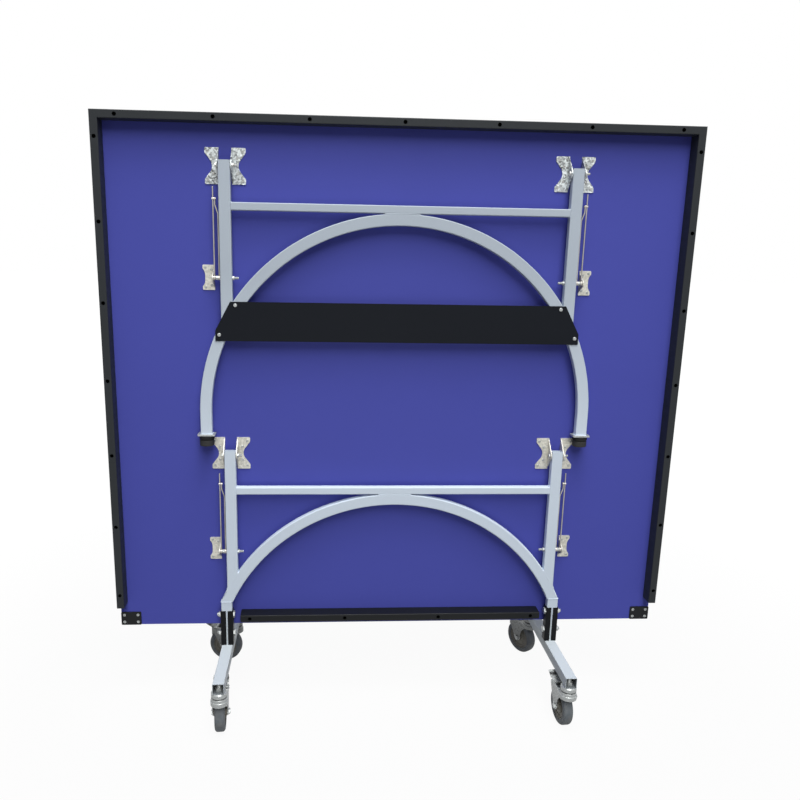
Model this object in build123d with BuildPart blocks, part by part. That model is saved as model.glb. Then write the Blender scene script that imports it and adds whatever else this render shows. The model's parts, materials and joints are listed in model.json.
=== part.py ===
from build123d import *
import os
from math import asin, cos, degrees, radians, sin, sqrt

# Half of a two-part ping pong table, upright on its wheeled leg, with the end leg folded flat.
# Millimetres. X runs along the net, -Y faces the viewer of the underside, +Z is up.
# The origin is on the floor, at the middle of the footprint.

os.makedirs("parts", exist_ok=True)

# Fits: the gap around a fixed shank, around a turning pin, and between faces that pass each other
SEAT_FIT = 0.05
RUN_FIT = 0.05
PASS_GAP = 0.5

# Table top
TOP_WIDTH = 1525.0
TOP_LENGTH = 1370.0
TOP_THICK = 20.0
TOP_CHAMFER = 1.5
PLAY_HEIGHT = 760.0
AXIS_GAP = 25.0
NET_GAP = 47.0
END_HINGE_UP = 1250.0

# Rim and net rail, both of one rectangular tube
RIM_FACE = 20.0
RIM_DEEP = 40.0
RIM_WALL = 1.5
RIM_ROUND = 2.0
RIM_STOP = 70.0
RAIL_UP = 24.0
RAIL_CLEAR = 38.0
ACCESS_R = 5.0
END_HOLES = 7
END_HOLE_IN = 60.5
SIDE_HOLES = 7
SIDE_HOLE_FIRST = 62.0
SIDE_HOLE_LAST = 38.0
RAIL_HOLES = 4
RAIL_HOLE_IN = 26.0

# Screws with a cross recess
SCREW_R = 2.0
SCREW_HEAD_R = 3.3
SCREW_HEAD = 1.5
SCREW_EASE = 0.5
SCREW_BITE = 12.0
RECESS_LONG = 4.4
RECESS_WIDE = 1.0
RECESS_DEEP = 0.9
SUNK_DEEP = 2.0
SUNK_BELOW = 0.2

# Net clamp plates
PLATE_WIDE = 55.5
PLATE_TALL = 39.0
PLATE_THICK = 3.0
PLATE_ROUND = 3.0
PLATE_SCREW_IN = 9.0

# Hinge brackets: a waisted flange on the board and an ear beside the upright
EAR_GAP = 1.0
EAR_THICK = 2.5
EAR_TIP_R = 11.0
EAR_HALF = 40.0
FLANGE_THICK = 2.5
FLANGE_WIDE = 35.0
FLANGE_HALF = 44.0
FLANGE_WAIST = 17.0
WAIST_HALF = 8.0
FLANGE_TAB = 12.0
FLANGE_ROUND = 3.0
WAIST_ROUND = 22.0
FLANGE_SCREWS = [(27.5, 34.5), (14.0, 18.5)]

# Hinge bolts
HINGE_R = 3.0
HINGE_HEAD_R = 5.0
HINGE_HEAD = 4.0
HINGE_NUT = 5.0
HINGE_OVER = 7.0

# Leg tubes
TUBE_WIDE = 30.0
TUBE_DEEP = 20.0
TUBE_WALL = 1.5
TUBE_ROUND = 2.5
TUBE_OVER = 12.0
BAR_TALL = 20.0
BAR_DROP = 98.0
ARCH_R = 505.0
UPRIGHT_IN = 60.0

# Sign panel on the end leg
SIGN_THICK = 2.0
SIGN_DROP = 334.0
SIGN_TALL = 101.0
SIGN_SKIRT = 27.0
SIGN_TOP_OVER = 7.0
SIGN_LOW_OVER = 4.0
SIGN_ROUND = 2.5
RIVET_R = 2.4
RIVET_HEAD_R = 4.8
RIVET_HEAD = 2.2
RIVET_GRIP = 6.0
RIVET_TOP_IN = 9.0
RIVET_LOW_IN = 16.0
RIVET_OUT = 5.0

# Levelling feet
FOOT_PLATE_WIDE = 46.0
FOOT_PLATE_DEEP = 32.0
FOOT_PLATE = 4.0
FOOT_TALL = 27.0
FOOT_R = 19.0
FOOT_COLLAR_R = 19.5
FOOT_COLLAR = 10.0
FOOT_GROOVE_R = 17.0
FOOT_GROOVE = 2.0
FOOT_EASE = 1.5
STEM_R = 5.0
STEM_UP = 34.0
STEM_IN_PAD = 20.0

# Folding stays of wire
STAY_DROP = 275.0
WIRE_R = 1.8
EYE_R = 6.0
EYE_THICK = 4.6
LINK_R = 3.6
LINK_THICK = 4.0
STAY_TIP = 30.0
TIP_EASE = 1.0
JOG_LOW = 36.0
JOG_HIGH = 14.0
JOG_R = 10.0
STAY_RIVET_R = 2.6
STAY_RIVET = 0.8

# Stay bolts through the uprights
STAY_BOLT_R = 3.0
STAY_HEAD_R = 5.0
STAY_HEAD = 4.5
STAY_NUT = 5.0
STAY_OVER = 11.0

# Stay brackets and their pivot pins
STAY_FLANGE_WIDE = 31.0
STAY_FLANGE_HALF = 32.0
STAY_FLANGE_WAIST = 24.5
STAY_TAB = 9.0
STAY_WAIST_HALF = 13.0
STAY_EAR_HALF = 24.0
STAY_EAR_TIP_R = 9.0
STAY_SCREWS = [(24.0, 25.0), (8.0, 20.0)]
PIN_HEAD_R = 5.0
PIN_HEAD = 1.2
PIN_TAIL = 2.0

# Foot of the wheeled leg: stub, tongue between clamp cheeks, base tube
STUB_TALL = 27.0
CHEEK_TALL = 103.0
CHEEK_WIDE = 15.0
CHEEK_DEEP = 24.0
CHEEK_ROUND = 2.0
TONGUE_THICK = 4.5
CHEEK_BOLT_R = 4.0
CHEEK_BOLT_DROP = 14.0
CHEEK_BOLT_STEP = 56.0
CHEEK_HEAD_R = 8.5
CHEEK_HEAD = 4.5
CHEEK_NUT_R = 6.5
CHEEK_NUT = 6.0
CHEEK_OVER = 4.0
BASE_SIZE = 30.0
BASE_WALL = 2.0
BASE_LENGTH = 400.0

# Casters
CASTER_TALL = 132.0
SWIVEL_INSET = 17.0
TRAIL = 32.0
WHEEL_R = 50.0
TREAD_WIDE = 27.0
TREAD_ROUND = 7.5
HUB_R = 36.0
HUB_WIDE = 23.0
HUB_RIM = 5.0
HUB_DISH = 6.0
HUB_BOSS_R = 11.0
AXLE_R = 5.0
AXLE_HEAD_R = 6.5
AXLE_HEAD = 3.0
AXLE_NUT = 4.0
AXLE_OVER = 1.0
FORK_GAP = 5.0
FORK_PLATE = 2.5
FORK_BOSS_R = 10.0
FORK_CUT_R = 42.0
FORK_CUT_BACK = 54.0
FORK_CUT_UP = 10.0
CROWN_GAP = 5.0
CROWN_THICK = 3.0
CROWN_EASE = 2.0
CROWN_FRONT = 23.0
CROWN_SIDE = 12.0
CROWN_BACK = 28.0
SKIRT_TALL = 9.0
RACE_R = 21.0
RACE_TALL = 10.0
RACE_EASE = 3.0
STUD_R = 6.0
STUD_HEAD_R = 9.0
STUD_HEAD = 3.0
STUD_NUT_R = 9.0
STUD_NUT = 9.0
STUD_TOP_GAP = 0.5

# Brake pedals
PEDAL_U = 60.0
PEDAL_Z = 103.0
PEDAL_END = 88.0
PEDAL_RISE = 15.0
PEDAL_THICK = 3.0
PEDAL_WIDE = 42.0
BARREL_R = 5.5
LUG_R = 8.0
LUG_GAP = 1.5
PEDAL_PIN_R = 3.0
PEDAL_PIN_HEAD_R = 4.5
PEDAL_PIN_HEAD = 1.5
PAD_START = 2.0
PAD_LONG = 12.0
PAD_WIDE = 24.0
PAD_GAP = 0.4

# Which way each caster trails, in degrees to the left of straight back
CASTER_TURN = {"front_left": 4.0, "front_right": 4.0, "rear_left": 77.0, "rear_right": 31.0}
HALF_TURN = 180.0

# Bore of the leg tube
bore_wide = TUBE_WIDE - 2 * TUBE_WALL
bore_deep = TUBE_DEEP - 2 * TUBE_WALL
bore_round = TUBE_ROUND - TUBE_WALL

# Levels above the floor
hinge_z = PLAY_HEIGHT - TOP_THICK - AXIS_GAP
base_low = CASTER_TALL
base_top = base_low + BASE_SIZE
net_edge_z = base_top + NET_GAP
rim_low = net_edge_z + RIM_STOP
end_edge_z = net_edge_z + TOP_LENGTH
end_hinge_z = net_edge_z + END_HINGE_UP
cheek_top = base_top + CHEEK_TALL
stub_top = cheek_top + STUB_TALL
arch_drop = BAR_DROP + BAR_TALL / 2 + TUBE_WIDE / 2 + ARCH_R
arch_outer = ARCH_R + TUBE_WIDE / 2
arch_inner = ARCH_R - TUBE_WIDE / 2
foot_plate_top = end_hinge_z - hinge_z + FOOT_TALL + PASS_GAP + FOOT_PLATE

# Places along X, and the fan of layers beside an upright
leg_x = ARCH_R - UPRIGHT_IN
stub_x = sqrt(arch_outer ** 2 - (stub_top - hinge_z + arch_drop) ** 2) - TUBE_WIDE / 2
rail_half = stub_x - RAIL_CLEAR
foot_x = sqrt(ARCH_R ** 2 - max(0, foot_plate_top - end_hinge_z + arch_drop) ** 2)
ear_s = TUBE_WIDE / 2 + EAR_GAP
leg_arm_s = TUBE_WIDE / 2 + PASS_GAP
stay_head_s = leg_arm_s + EYE_THICK + PASS_GAP
pin_head_s = stay_head_s + STAY_HEAD + PASS_GAP
board_arm_s = pin_head_s + PIN_HEAD + PASS_GAP
stay_ear_s = board_arm_s + EYE_THICK + PASS_GAP
link_s = board_arm_s + (EYE_THICK - LINK_THICK) / 2
stay_arm = STAY_DROP / sqrt(2)

# Caster levels and widths
swivel_y = BASE_LENGTH / 2 - SWIVEL_INSET
crown_z = 2 * WHEEL_R + CROWN_GAP
race_low = crown_z + CROWN_THICK
race_mid = race_low + RACE_TALL
fork_in = TREAD_WIDE / 2 + FORK_GAP
fork_out = fork_in + FORK_PLATE

# The legs' plane stands ahead of the footprint's middle, because the casters trail back
front_reach = swivel_y + CROWN_FRONT
rear_turns = [radians(CASTER_TURN[name]) for name in ("rear_left", "rear_right")]
rear_reach = swivel_y + max(PEDAL_END * cos(turn) + PEDAL_WIDE / 2 * sin(turn) for turn in rear_turns)
leg_y = (front_reach - rear_reach) / 2


def front(ahead=0.0):
    """Plane facing the viewer, this far in front of the legs' plane: sketch x is X, sketch y is Z."""
    return Plane(origin=(0, leg_y - ahead, 0), x_dir=(1, 0, 0), z_dir=(0, -1, 0))


def side(x):
    """Plane facing +X at this X: sketch x runs back from the legs' plane, sketch y is Z."""
    return Plane(origin=(x, leg_y, 0), x_dir=(0, 1, 0), z_dir=(1, 0, 0))


def level(z):
    """Plane facing up at this height, with its middle on the legs' plane."""
    return Plane(origin=(0, leg_y, z), x_dir=(1, 0, 0), z_dir=(0, 0, 1))


def save(piece, name):
    piece.part.label = name
    export_step(piece.part, f"parts/{name}.step")


def even_row(first, last, count):
    return [first + (last - first) * index / (count - 1) for index in range(count)]


def box_corners(x_low, x_high, z_low, z_high):
    return [(x_low, z_low), (x_high, z_low), (x_high, z_high), (x_low, z_high)]


# Screw places, as X and Z on the underside
end_reach = TOP_WIDTH / 2 - END_HOLE_IN
rail_reach = rail_half - RAIL_HOLE_IN
end_spots = [(x, end_edge_z - RIM_FACE / 2) for x in even_row(-end_reach, end_reach, END_HOLES)]
rail_z = net_edge_z + RAIL_UP + RIM_FACE / 2
rail_spots = [(x, rail_z) for x in even_row(-rail_reach, rail_reach, RAIL_HOLES)]


def side_spots(way):
    x = way * (TOP_WIDTH - RIM_FACE) / 2
    levels = even_row(end_edge_z - SIDE_HOLE_FIRST, rim_low + SIDE_HOLE_LAST, SIDE_HOLES)
    return [(x, z) for z in levels]


def plate_spots(way):
    mid_x = way * (TOP_WIDTH - PLATE_WIDE) / 2
    mid_z = net_edge_z + PLATE_TALL / 2
    across = PLATE_WIDE / 2 - PLATE_SCREW_IN
    up = PLATE_TALL / 2 - PLATE_SCREW_IN
    return [(mid_x + sx * across, mid_z + sz * up) for sx in (-1, 1) for sz in (-1, 1)]


def flange_spots(corner_x, out, axis_z, screws):
    return [(corner_x + out * p, axis_z + sz * q) for p, q in screws for sz in (-1, 1)]


uprights = [-leg_x, leg_x]
axes = [hinge_z, end_hinge_z]
hinge_flanges = [(x + out * ear_s, out, z) for z in axes for x in uprights for out in (-1, 1)]
stay_flanges = [(way * (leg_x + stay_ear_s), way, z - STAY_DROP) for z in axes for way in (-1, 1)]
rim_spots = end_spots + side_spots(-1) + side_spots(1) + rail_spots
net_plate_spots = plate_spots(-1) + plate_spots(1)
bracket_spots = [
    spot
    for flanges, screws in ((hinge_flanges, FLANGE_SCREWS), (stay_flanges, STAY_SCREWS))
    for corner_x, out, axis_z in flanges
    for spot in flange_spots(corner_x, out, axis_z, screws)
]

# Table top, drilled for its screws
with BuildPart() as table_top:
    with BuildSketch(front(-AXIS_GAP)):
        Polygon(*box_corners(-TOP_WIDTH / 2, TOP_WIDTH / 2, net_edge_z, end_edge_z))
    extrude(amount=-TOP_THICK)
    chamfer(table_top.faces().sort_by(Axis.Y)[-1].edges(), TOP_CHAMFER)
    with BuildSketch(front(-AXIS_GAP)):
        with Locations(*rim_spots, *net_plate_spots, *bracket_spots):
            Circle(SCREW_R + SEAT_FIT)
    extrude(amount=-SCREW_BITE - SEAT_FIT, mode=Mode.SUBTRACT)
save(table_top, "table_top")


def rim_tube(outline, bore, along, spots):
    """Rectangular tube on the underside, with access holes in front and screw holes behind."""
    with BuildPart() as tube:
        with BuildSketch(front(-AXIS_GAP)):
            Polygon(*outline)
        extrude(amount=RIM_DEEP)
        fillet(tube.edges().filter_by(along), RIM_ROUND)
        with BuildSketch(front(RIM_WALL - AXIS_GAP)):
            Polygon(*bore)
        extrude(amount=RIM_DEEP - 2 * RIM_WALL, mode=Mode.SUBTRACT)
        with BuildSketch(front(RIM_DEEP - AXIS_GAP)):
            with Locations(*spots):
                Circle(ACCESS_R)
        extrude(amount=-RIM_WALL, mode=Mode.SUBTRACT)
        with BuildSketch(front(-AXIS_GAP)):
            with Locations(*spots):
                Circle(SCREW_R + SEAT_FIT)
        extrude(amount=RIM_WALL, mode=Mode.SUBTRACT)
    return tube


# Rims, mitred at the two end corners
half_wide = TOP_WIDTH / 2
inner_x = half_wide - RIM_FACE
inner_z = end_edge_z - RIM_FACE
end_rim = rim_tube(
    [(-half_wide, end_edge_z), (half_wide, end_edge_z), (inner_x, inner_z), (-inner_x, inner_z)],
    box_corners(-half_wide, half_wide, inner_z + RIM_WALL, end_edge_z - RIM_WALL),
    Axis.X,
    end_spots,
)
save(end_rim, "end_rim")

for name, way in (("left", -1), ("right", 1)):
    edges_x = sorted([way * (inner_x + RIM_WALL), way * (half_wide - RIM_WALL)])
    outer_edge = [(way * half_wide, rim_low), (way * half_wide, end_edge_z)]
    inner_edge = [(way * inner_x, inner_z), (way * inner_x, rim_low)]
    side_rim = rim_tube(
        outer_edge + inner_edge,
        box_corners(edges_x[0], edges_x[1], rim_low, end_edge_z),
        Axis.Z,
        side_spots(way),
    )
    save(side_rim, f"side_rim_{name}")

rail_low = net_edge_z + RAIL_UP
net_rail = rim_tube(
    box_corners(-rail_half, rail_half, rail_low, rail_low + RIM_FACE),
    box_corners(-rail_half, rail_half, rail_low + RIM_WALL, rail_low + RIM_FACE - RIM_WALL),
    Axis.X,
    rail_spots,
)
save(net_rail, "net_rail")


def add_cones(spots, ahead, wide_r, tall, mode):
    """Cones of 45 degrees that narrow towards the board, their wide ends this far in front of it."""
    into = [Plane(origin=(x, leg_y + AXIS_GAP - ahead, z), z_dir=(0, 1, 0)) for x, z in spots]
    with Locations(*into):
        Cone(wide_r, wide_r - tall, tall, align=(Align.CENTER, Align.CENTER, Align.MIN), mode=mode)


# Net clamp plates, countersunk so that a net post's clamp lies flat on them
with BuildPart() as clamp_plates:
    for way in (-1, 1):
        with BuildSketch(front(-AXIS_GAP)):
            with Locations((way * (TOP_WIDTH - PLATE_WIDE) / 2, net_edge_z + PLATE_TALL / 2)):
                RectangleRounded(PLATE_WIDE, PLATE_TALL, PLATE_ROUND)
            with Locations(*plate_spots(way)):
                Circle(SCREW_R + SEAT_FIT, mode=Mode.SUBTRACT)
        extrude(amount=PLATE_THICK)
        sink = SUNK_DEEP + SUNK_BELOW
        add_cones(plate_spots(way), PLATE_THICK, SCREW_R + SEAT_FIT + sink, sink, Mode.SUBTRACT)
save(clamp_plates, "net_clamp_plates")


def add_flange(corner_x, out, axis_z, half, wide, waist, waist_half, tab, screws):
    """Waisted flange on the underside, its straight edge at corner_x, growing outwards."""
    profile = [(0, half), (wide, half), (wide, half - tab), (waist, waist_half)]
    profile += [(p, -q) for p, q in reversed(profile)]
    with BuildSketch(front(-AXIS_GAP)) as outline:
        Polygon(*[(corner_x + out * p, axis_z + q) for p, q in profile])
        for reach, radius in ((waist, WAIST_ROUND), (wide, FLANGE_ROUND)):
            corners = [v for v in outline.vertices() if abs(abs(v.X - corner_x) - reach) < 0.01]
            fillet(corners, radius)
        with Locations(*flange_spots(corner_x, out, axis_z, screws)):
            Circle(SCREW_R + SEAT_FIT, mode=Mode.SUBTRACT)
    extrude(outline.sketch, amount=FLANGE_THICK)


def add_ear(corner_x, out, axis_z, half, tip_r, hole_r):
    """Ear at the flange's straight edge: wide on the board, round about the pivot."""
    with BuildSketch(side(corner_x)) as outline:
        with Locations((AXIS_GAP - FLANGE_THICK / 2, axis_z)):
            Rectangle(FLANGE_THICK, 2 * half)
        with Locations((0, axis_z)):
            Circle(tip_r)
        make_hull()
        with Locations((0, axis_z)):
            Circle(hole_r, mode=Mode.SUBTRACT)
    extrude(outline.sketch, amount=out * EAR_THICK)


with BuildPart() as hinge_brackets:
    for corner_x, out, axis_z in hinge_flanges:
        sizes = (FLANGE_HALF, FLANGE_WIDE, FLANGE_WAIST, WAIST_HALF, FLANGE_TAB)
        add_flange(corner_x, out, axis_z, *sizes, FLANGE_SCREWS)
        add_ear(corner_x, out, axis_z, EAR_HALF, EAR_TIP_R, HINGE_R + SEAT_FIT)
save(hinge_brackets, "hinge_brackets")

with BuildPart() as stay_brackets:
    for corner_x, out, axis_z in stay_flanges:
        sizes = (STAY_FLANGE_HALF, STAY_FLANGE_WIDE, STAY_FLANGE_WAIST, STAY_WAIST_HALF, STAY_TAB)
        add_flange(corner_x, out, axis_z, *sizes, STAY_SCREWS)
        add_ear(corner_x, out, axis_z, STAY_EAR_HALF, STAY_EAR_TIP_R, STAY_BOLT_R + SEAT_FIT)
save(stay_brackets, "stay_brackets")


def add_shanks(spots, seat, head):
    """Shanks into the underside, and cross recesses in heads of this height above their seats."""
    with BuildSketch(front(seat - AXIS_GAP + head)) as recess:
        with Locations(*spots):
            Rectangle(RECESS_LONG, RECESS_WIDE)
            Rectangle(RECESS_WIDE, RECESS_LONG)
    extrude(recess.sketch, amount=-RECESS_DEEP, mode=Mode.SUBTRACT)
    with BuildSketch(front(seat - AXIS_GAP)) as shank:
        with Locations(*spots):
            Circle(SCREW_R)
    extrude(shank.sketch, amount=-seat - SCREW_BITE)


def add_screws(spots, seat):
    """Screws into the underside, with the heads seated this far in front of it."""
    with BuildSketch(front(seat - AXIS_GAP)) as head:
        with Locations(*spots):
            Circle(SCREW_HEAD_R)
    extrude(head.sketch, amount=SCREW_HEAD)
    chamfer(faces(Select.LAST).group_by(Axis.Y)[0].edges(), SCREW_EASE)
    add_shanks(spots, seat, SCREW_HEAD)


def add_sunk_screws(spots, thick):
    """Countersunk screws whose heads lie just below the face of a plate this thick."""
    top = thick - SUNK_BELOW
    add_cones(spots, top, SCREW_R + SUNK_DEEP, SUNK_DEEP, Mode.ADD)
    add_shanks(spots, top - SUNK_DEEP, SUNK_DEEP)


with BuildPart() as rim_screws:
    add_screws(rim_spots, RIM_WALL)
save(rim_screws, "rim_screws")

with BuildPart() as board_screws:
    add_sunk_screws(net_plate_spots, PLATE_THICK)
    add_screws(bracket_spots, FLANGE_THICK)
save(board_screws, "board_screws")


def add_bolt(axis_z, head_at, way, grip, shank_r, head_r, head, nut_r, nut, over):
    """Hex bolt along X on the legs' plane, with its nut as a solid of its own at the grip's far end."""
    with BuildSketch(side(head_at)) as hexagon:
        with Locations((0, axis_z)):
            RegularPolygon(head_r, 6, major_radius=False)
    extrude(hexagon.sketch, amount=-way * head)
    with BuildSketch(side(head_at)) as shank:
        with Locations((0, axis_z)):
            Circle(shank_r)
    extrude(shank.sketch, amount=way * (grip + nut + over))
    with BuildSketch(side(head_at + way * grip)) as ring:
        with Locations((0, axis_z)):
            RegularPolygon(nut_r, 6, major_radius=False)
            Circle(shank_r + SEAT_FIT, mode=Mode.SUBTRACT)
    extrude(ring.sketch, amount=way * nut)


with BuildPart() as hinge_bolts:
    ear_out = ear_s + EAR_THICK
    sizes = (HINGE_R, HINGE_HEAD_R, HINGE_HEAD, HINGE_HEAD_R, HINGE_NUT, HINGE_OVER)
    for x in uprights:
        for axis_z in axes:
            add_bolt(axis_z, x - ear_out, 1, 2 * ear_out, *sizes)
save(hinge_bolts, "hinge_bolts")

with BuildPart() as stay_pins:
    tail_s = stay_ear_s + EAR_THICK
    pin_spots = [(0, z - STAY_DROP) for z in axes]
    for way in (-1, 1):
        for start_s, end_s, radius in (
            (pin_head_s, pin_head_s + PIN_HEAD, PIN_HEAD_R),
            (pin_head_s, tail_s, STAY_BOLT_R),
            (tail_s, tail_s + PIN_TAIL, PIN_HEAD_R),
        ):
            with BuildSketch(side(way * (leg_x + start_s))):
                with Locations(*pin_spots):
                    Circle(radius)
            extrude(amount=way * (end_s - start_s))
save(stay_pins, "stay_pins")


def upright_tube(x, axis_z):
    """Upright from above its hinge axis down to the back of the arch, drilled for hinge and stay bolts."""
    arch_z = axis_z - arch_drop
    low = arch_z + sqrt(arch_outer ** 2 - (leg_x + TUBE_WIDE / 2) ** 2)
    with BuildPart() as tube:
        with BuildSketch(level(low)):
            with Locations((x, 0)):
                RectangleRounded(TUBE_WIDE, TUBE_DEEP, TUBE_ROUND)
                RectangleRounded(bore_wide, bore_deep, bore_round, mode=Mode.SUBTRACT)
        extrude(amount=axis_z + TUBE_OVER - low)
        with BuildSketch(front()):
            with Locations((0, arch_z)):
                Circle(arch_outer)
        extrude(amount=TUBE_DEEP, both=True, mode=Mode.SUBTRACT)
        with BuildSketch(side(x)):
            with Locations((0, axis_z)):
                Circle(HINGE_R + RUN_FIT)
            with Locations((0, axis_z - STAY_DROP)):
                Circle(STAY_BOLT_R + SEAT_FIT)
        extrude(amount=TUBE_WIDE, both=True, mode=Mode.SUBTRACT)
    return tube


def cross_bar(axis_z):
    length = 2 * leg_x - TUBE_WIDE
    with BuildPart() as bar:
        with BuildSketch(side(-length / 2)):
            with Locations((0, axis_z - BAR_DROP)):
                RectangleRounded(TUBE_DEEP, BAR_TALL, TUBE_ROUND)
                RectangleRounded(bore_deep, BAR_TALL - 2 * TUBE_WALL, bore_round, mode=Mode.SUBTRACT)
        extrude(amount=length)
    return bar


def add_band(middle_z, cut_z, outer, inner):
    """Face between two circles about (0, middle_z), straight below the middle, above a level cut."""
    low_z = max(cut_z, middle_z)
    ends = [(radius, degrees(asin((low_z - middle_z) / radius))) for radius in (outer, inner)]
    with BuildLine() as outline:
        for radius, start in ends:
            CenterArc((0, middle_z), radius, start, HALF_TURN - 2 * start)
        for way in (-1, 1):
            out_x, in_x = [way * radius * cos(radians(start)) for radius, start in ends]
            if cut_z < middle_z:
                Polyline((out_x, low_z), (out_x, cut_z), (in_x, cut_z), (in_x, low_z))
            else:
                Line((out_x, low_z), (in_x, low_z))
    make_face(outline.edges())


def arch_tube(axis_z, cut_z, rivets):
    """Tube bent to a round arch, cut level at both ends, with rivet holes in its front wall."""
    middle_z = axis_z - arch_drop
    with BuildPart() as arch:
        with BuildSketch(front(TUBE_DEEP / 2)):
            add_band(middle_z, cut_z, arch_outer, arch_inner)
        extrude(amount=-TUBE_DEEP)
        fillet(arch.edges().filter_by(GeomType.CIRCLE), TUBE_ROUND)
        with BuildSketch(front(TUBE_DEEP / 2 - TUBE_WALL)):
            add_band(middle_z, cut_z, arch_outer - TUBE_WALL, arch_inner + TUBE_WALL)
        extrude(amount=-TUBE_DEEP + 2 * TUBE_WALL, mode=Mode.SUBTRACT)
        if rivets:
            with BuildSketch(front(TUBE_DEEP / 2)):
                with Locations(*rivets):
                    Circle(RIVET_R + SEAT_FIT)
            extrude(amount=-TUBE_WALL, mode=Mode.SUBTRACT)
    return arch


# Rivets of the sign panel, a little outside the middle line of the end leg's arch
sign_top = end_hinge_z - SIGN_DROP
sign_low = sign_top - SIGN_TALL
end_arch_z = end_hinge_z - arch_drop
rivet_spots = [
    (way * sqrt((ARCH_R + RIVET_OUT) ** 2 - (z - end_arch_z) ** 2), z)
    for z in (sign_top - RIVET_TOP_IN, sign_low + RIVET_LOW_IN)
    for way in (-1, 1)
]

# Both legs
for leg, axis_z, cut_z, rivets in (
    ("wheel_leg", hinge_z, stub_top, []),
    ("end_leg", end_hinge_z, foot_plate_top, rivet_spots),
):
    save(upright_tube(-leg_x, axis_z), f"{leg}_upright_left")
    save(upright_tube(leg_x, axis_z), f"{leg}_upright_right")
    save(cross_bar(axis_z), f"{leg}_crossbar")
    save(arch_tube(axis_z, cut_z, rivets), f"{leg}_arch")
    with BuildPart() as stay_bolts:
        sizes = (STAY_BOLT_R, STAY_HEAD_R, STAY_HEAD, STAY_HEAD_R, STAY_NUT, STAY_OVER)
        for way in (-1, 1):
            head_x = way * (leg_x + stay_head_s)
            add_bolt(axis_z - STAY_DROP, head_x, -way, stay_head_s + TUBE_WIDE / 2, *sizes)
    save(stay_bolts, f"{leg}_stay_bolts")

# Sign panel, a little wider than the arch behind it
with BuildPart() as sign_panel:
    skirt_z = sign_low + SIGN_SKIRT
    top_half = sqrt(arch_outer ** 2 - (sign_top - end_arch_z) ** 2) + SIGN_TOP_OVER
    low_half = sqrt(arch_outer ** 2 - (skirt_z - end_arch_z) ** 2) + SIGN_LOW_OVER
    right_edge = [(top_half, sign_top), (low_half, skirt_z), (low_half, sign_low)]
    left_edge = [(-x, z) for x, z in reversed(right_edge)]
    with BuildSketch(front(TUBE_DEEP / 2)) as outline:
        Polygon(*right_edge, *left_edge)
        fillet(outline.vertices(), SIGN_ROUND)
        with Locations(*rivet_spots):
            Circle(RIVET_R + SEAT_FIT, mode=Mode.SUBTRACT)
    extrude(amount=SIGN_THICK)
save(sign_panel, "sign_panel")

with BuildPart() as sign_rivets:
    with BuildSketch(front(TUBE_DEEP / 2 + SIGN_THICK)):
        with Locations(*rivet_spots):
            Circle(RIVET_HEAD_R)
    extrude(amount=RIVET_HEAD)
    fillet(sign_rivets.faces().group_by(Axis.Y)[0].edges(), RIVET_HEAD * 0.8)
    with BuildSketch(front(TUBE_DEEP / 2 + SIGN_THICK)):
        with Locations(*rivet_spots):
            Circle(RIVET_R)
    extrude(amount=-SIGN_THICK - RIVET_GRIP)
save(sign_rivets, "sign_rivets")

# Foot flanges under the ends of the end leg's arch
with BuildPart() as foot_flanges:
    with BuildSketch(level(foot_plate_top)):
        with Locations((-foot_x, 0), (foot_x, 0)):
            RectangleRounded(FOOT_PLATE_WIDE, FOOT_PLATE_DEEP, PLATE_ROUND)
            Circle(STEM_R + RUN_FIT, mode=Mode.SUBTRACT)
    extrude(amount=-FOOT_PLATE)
save(foot_flanges, "foot_flanges")

# Levelling feet: a threaded stem moulded into a grooved rubber pad
foot_low = end_hinge_z - hinge_z
foot_top = foot_low + FOOT_TALL
stem_low = foot_top - STEM_IN_PAD
for name, x in (("left", -foot_x), ("right", foot_x)):
    with BuildPart() as foot_stem:
        with BuildSketch(level(stem_low)):
            with Locations((x, 0)):
                Circle(STEM_R)
        extrude(amount=STEM_IN_PAD + PASS_GAP + FOOT_PLATE + STEM_UP)
        chamfer(foot_stem.faces().sort_by(Axis.Z)[-1].edges(), STEM_R / 5)
    save(foot_stem, f"foot_stem_{name}")

    with BuildPart() as foot_pad:
        collar_low = foot_top - FOOT_COLLAR
        with BuildSketch(level(collar_low)):
            with Locations((x, 0)):
                Circle(FOOT_COLLAR_R)
        extrude(amount=FOOT_COLLAR)
        fillet(foot_pad.edges().filter_by(GeomType.CIRCLE), FOOT_EASE)
        with BuildSketch(level(collar_low - FOOT_GROOVE)):
            with Locations((x, 0)):
                Circle(FOOT_GROOVE_R)
        extrude(amount=FOOT_GROOVE + FOOT_EASE)
        with BuildSketch(level(foot_low)):
            with Locations((x, 0)):
                Circle(FOOT_R)
        sole = extrude(amount=FOOT_TALL - FOOT_COLLAR - FOOT_GROOVE)
        fillet(sole.edges().filter_by(GeomType.CIRCLE).group_by(SortBy.RADIUS)[-1], FOOT_EASE)
        with BuildSketch(level(stem_low - SEAT_FIT)):
            with Locations((x, 0)):
                Circle(STEM_R + SEAT_FIT)
        extrude(amount=STEM_IN_PAD + SEAT_FIT, mode=Mode.SUBTRACT)
    save(foot_pad, f"foot_pad_{name}")


def add_eye(x_from, thick, pivot_z, radius):
    """Flat round eye about a pivot on the legs' plane, growing along X."""
    with BuildSketch(side(x_from)) as disc:
        with Locations((0, pivot_z)):
            Circle(radius)
    extrude(disc.sketch, amount=thick)


def cut_pivot(x_from, thick, pivot_z):
    with BuildSketch(side(x_from)) as hole:
        with Locations((0, pivot_z)):
            Circle(STAY_BOLT_R + RUN_FIT)
    extrude(hole.sketch, amount=thick, mode=Mode.SUBTRACT)


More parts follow.
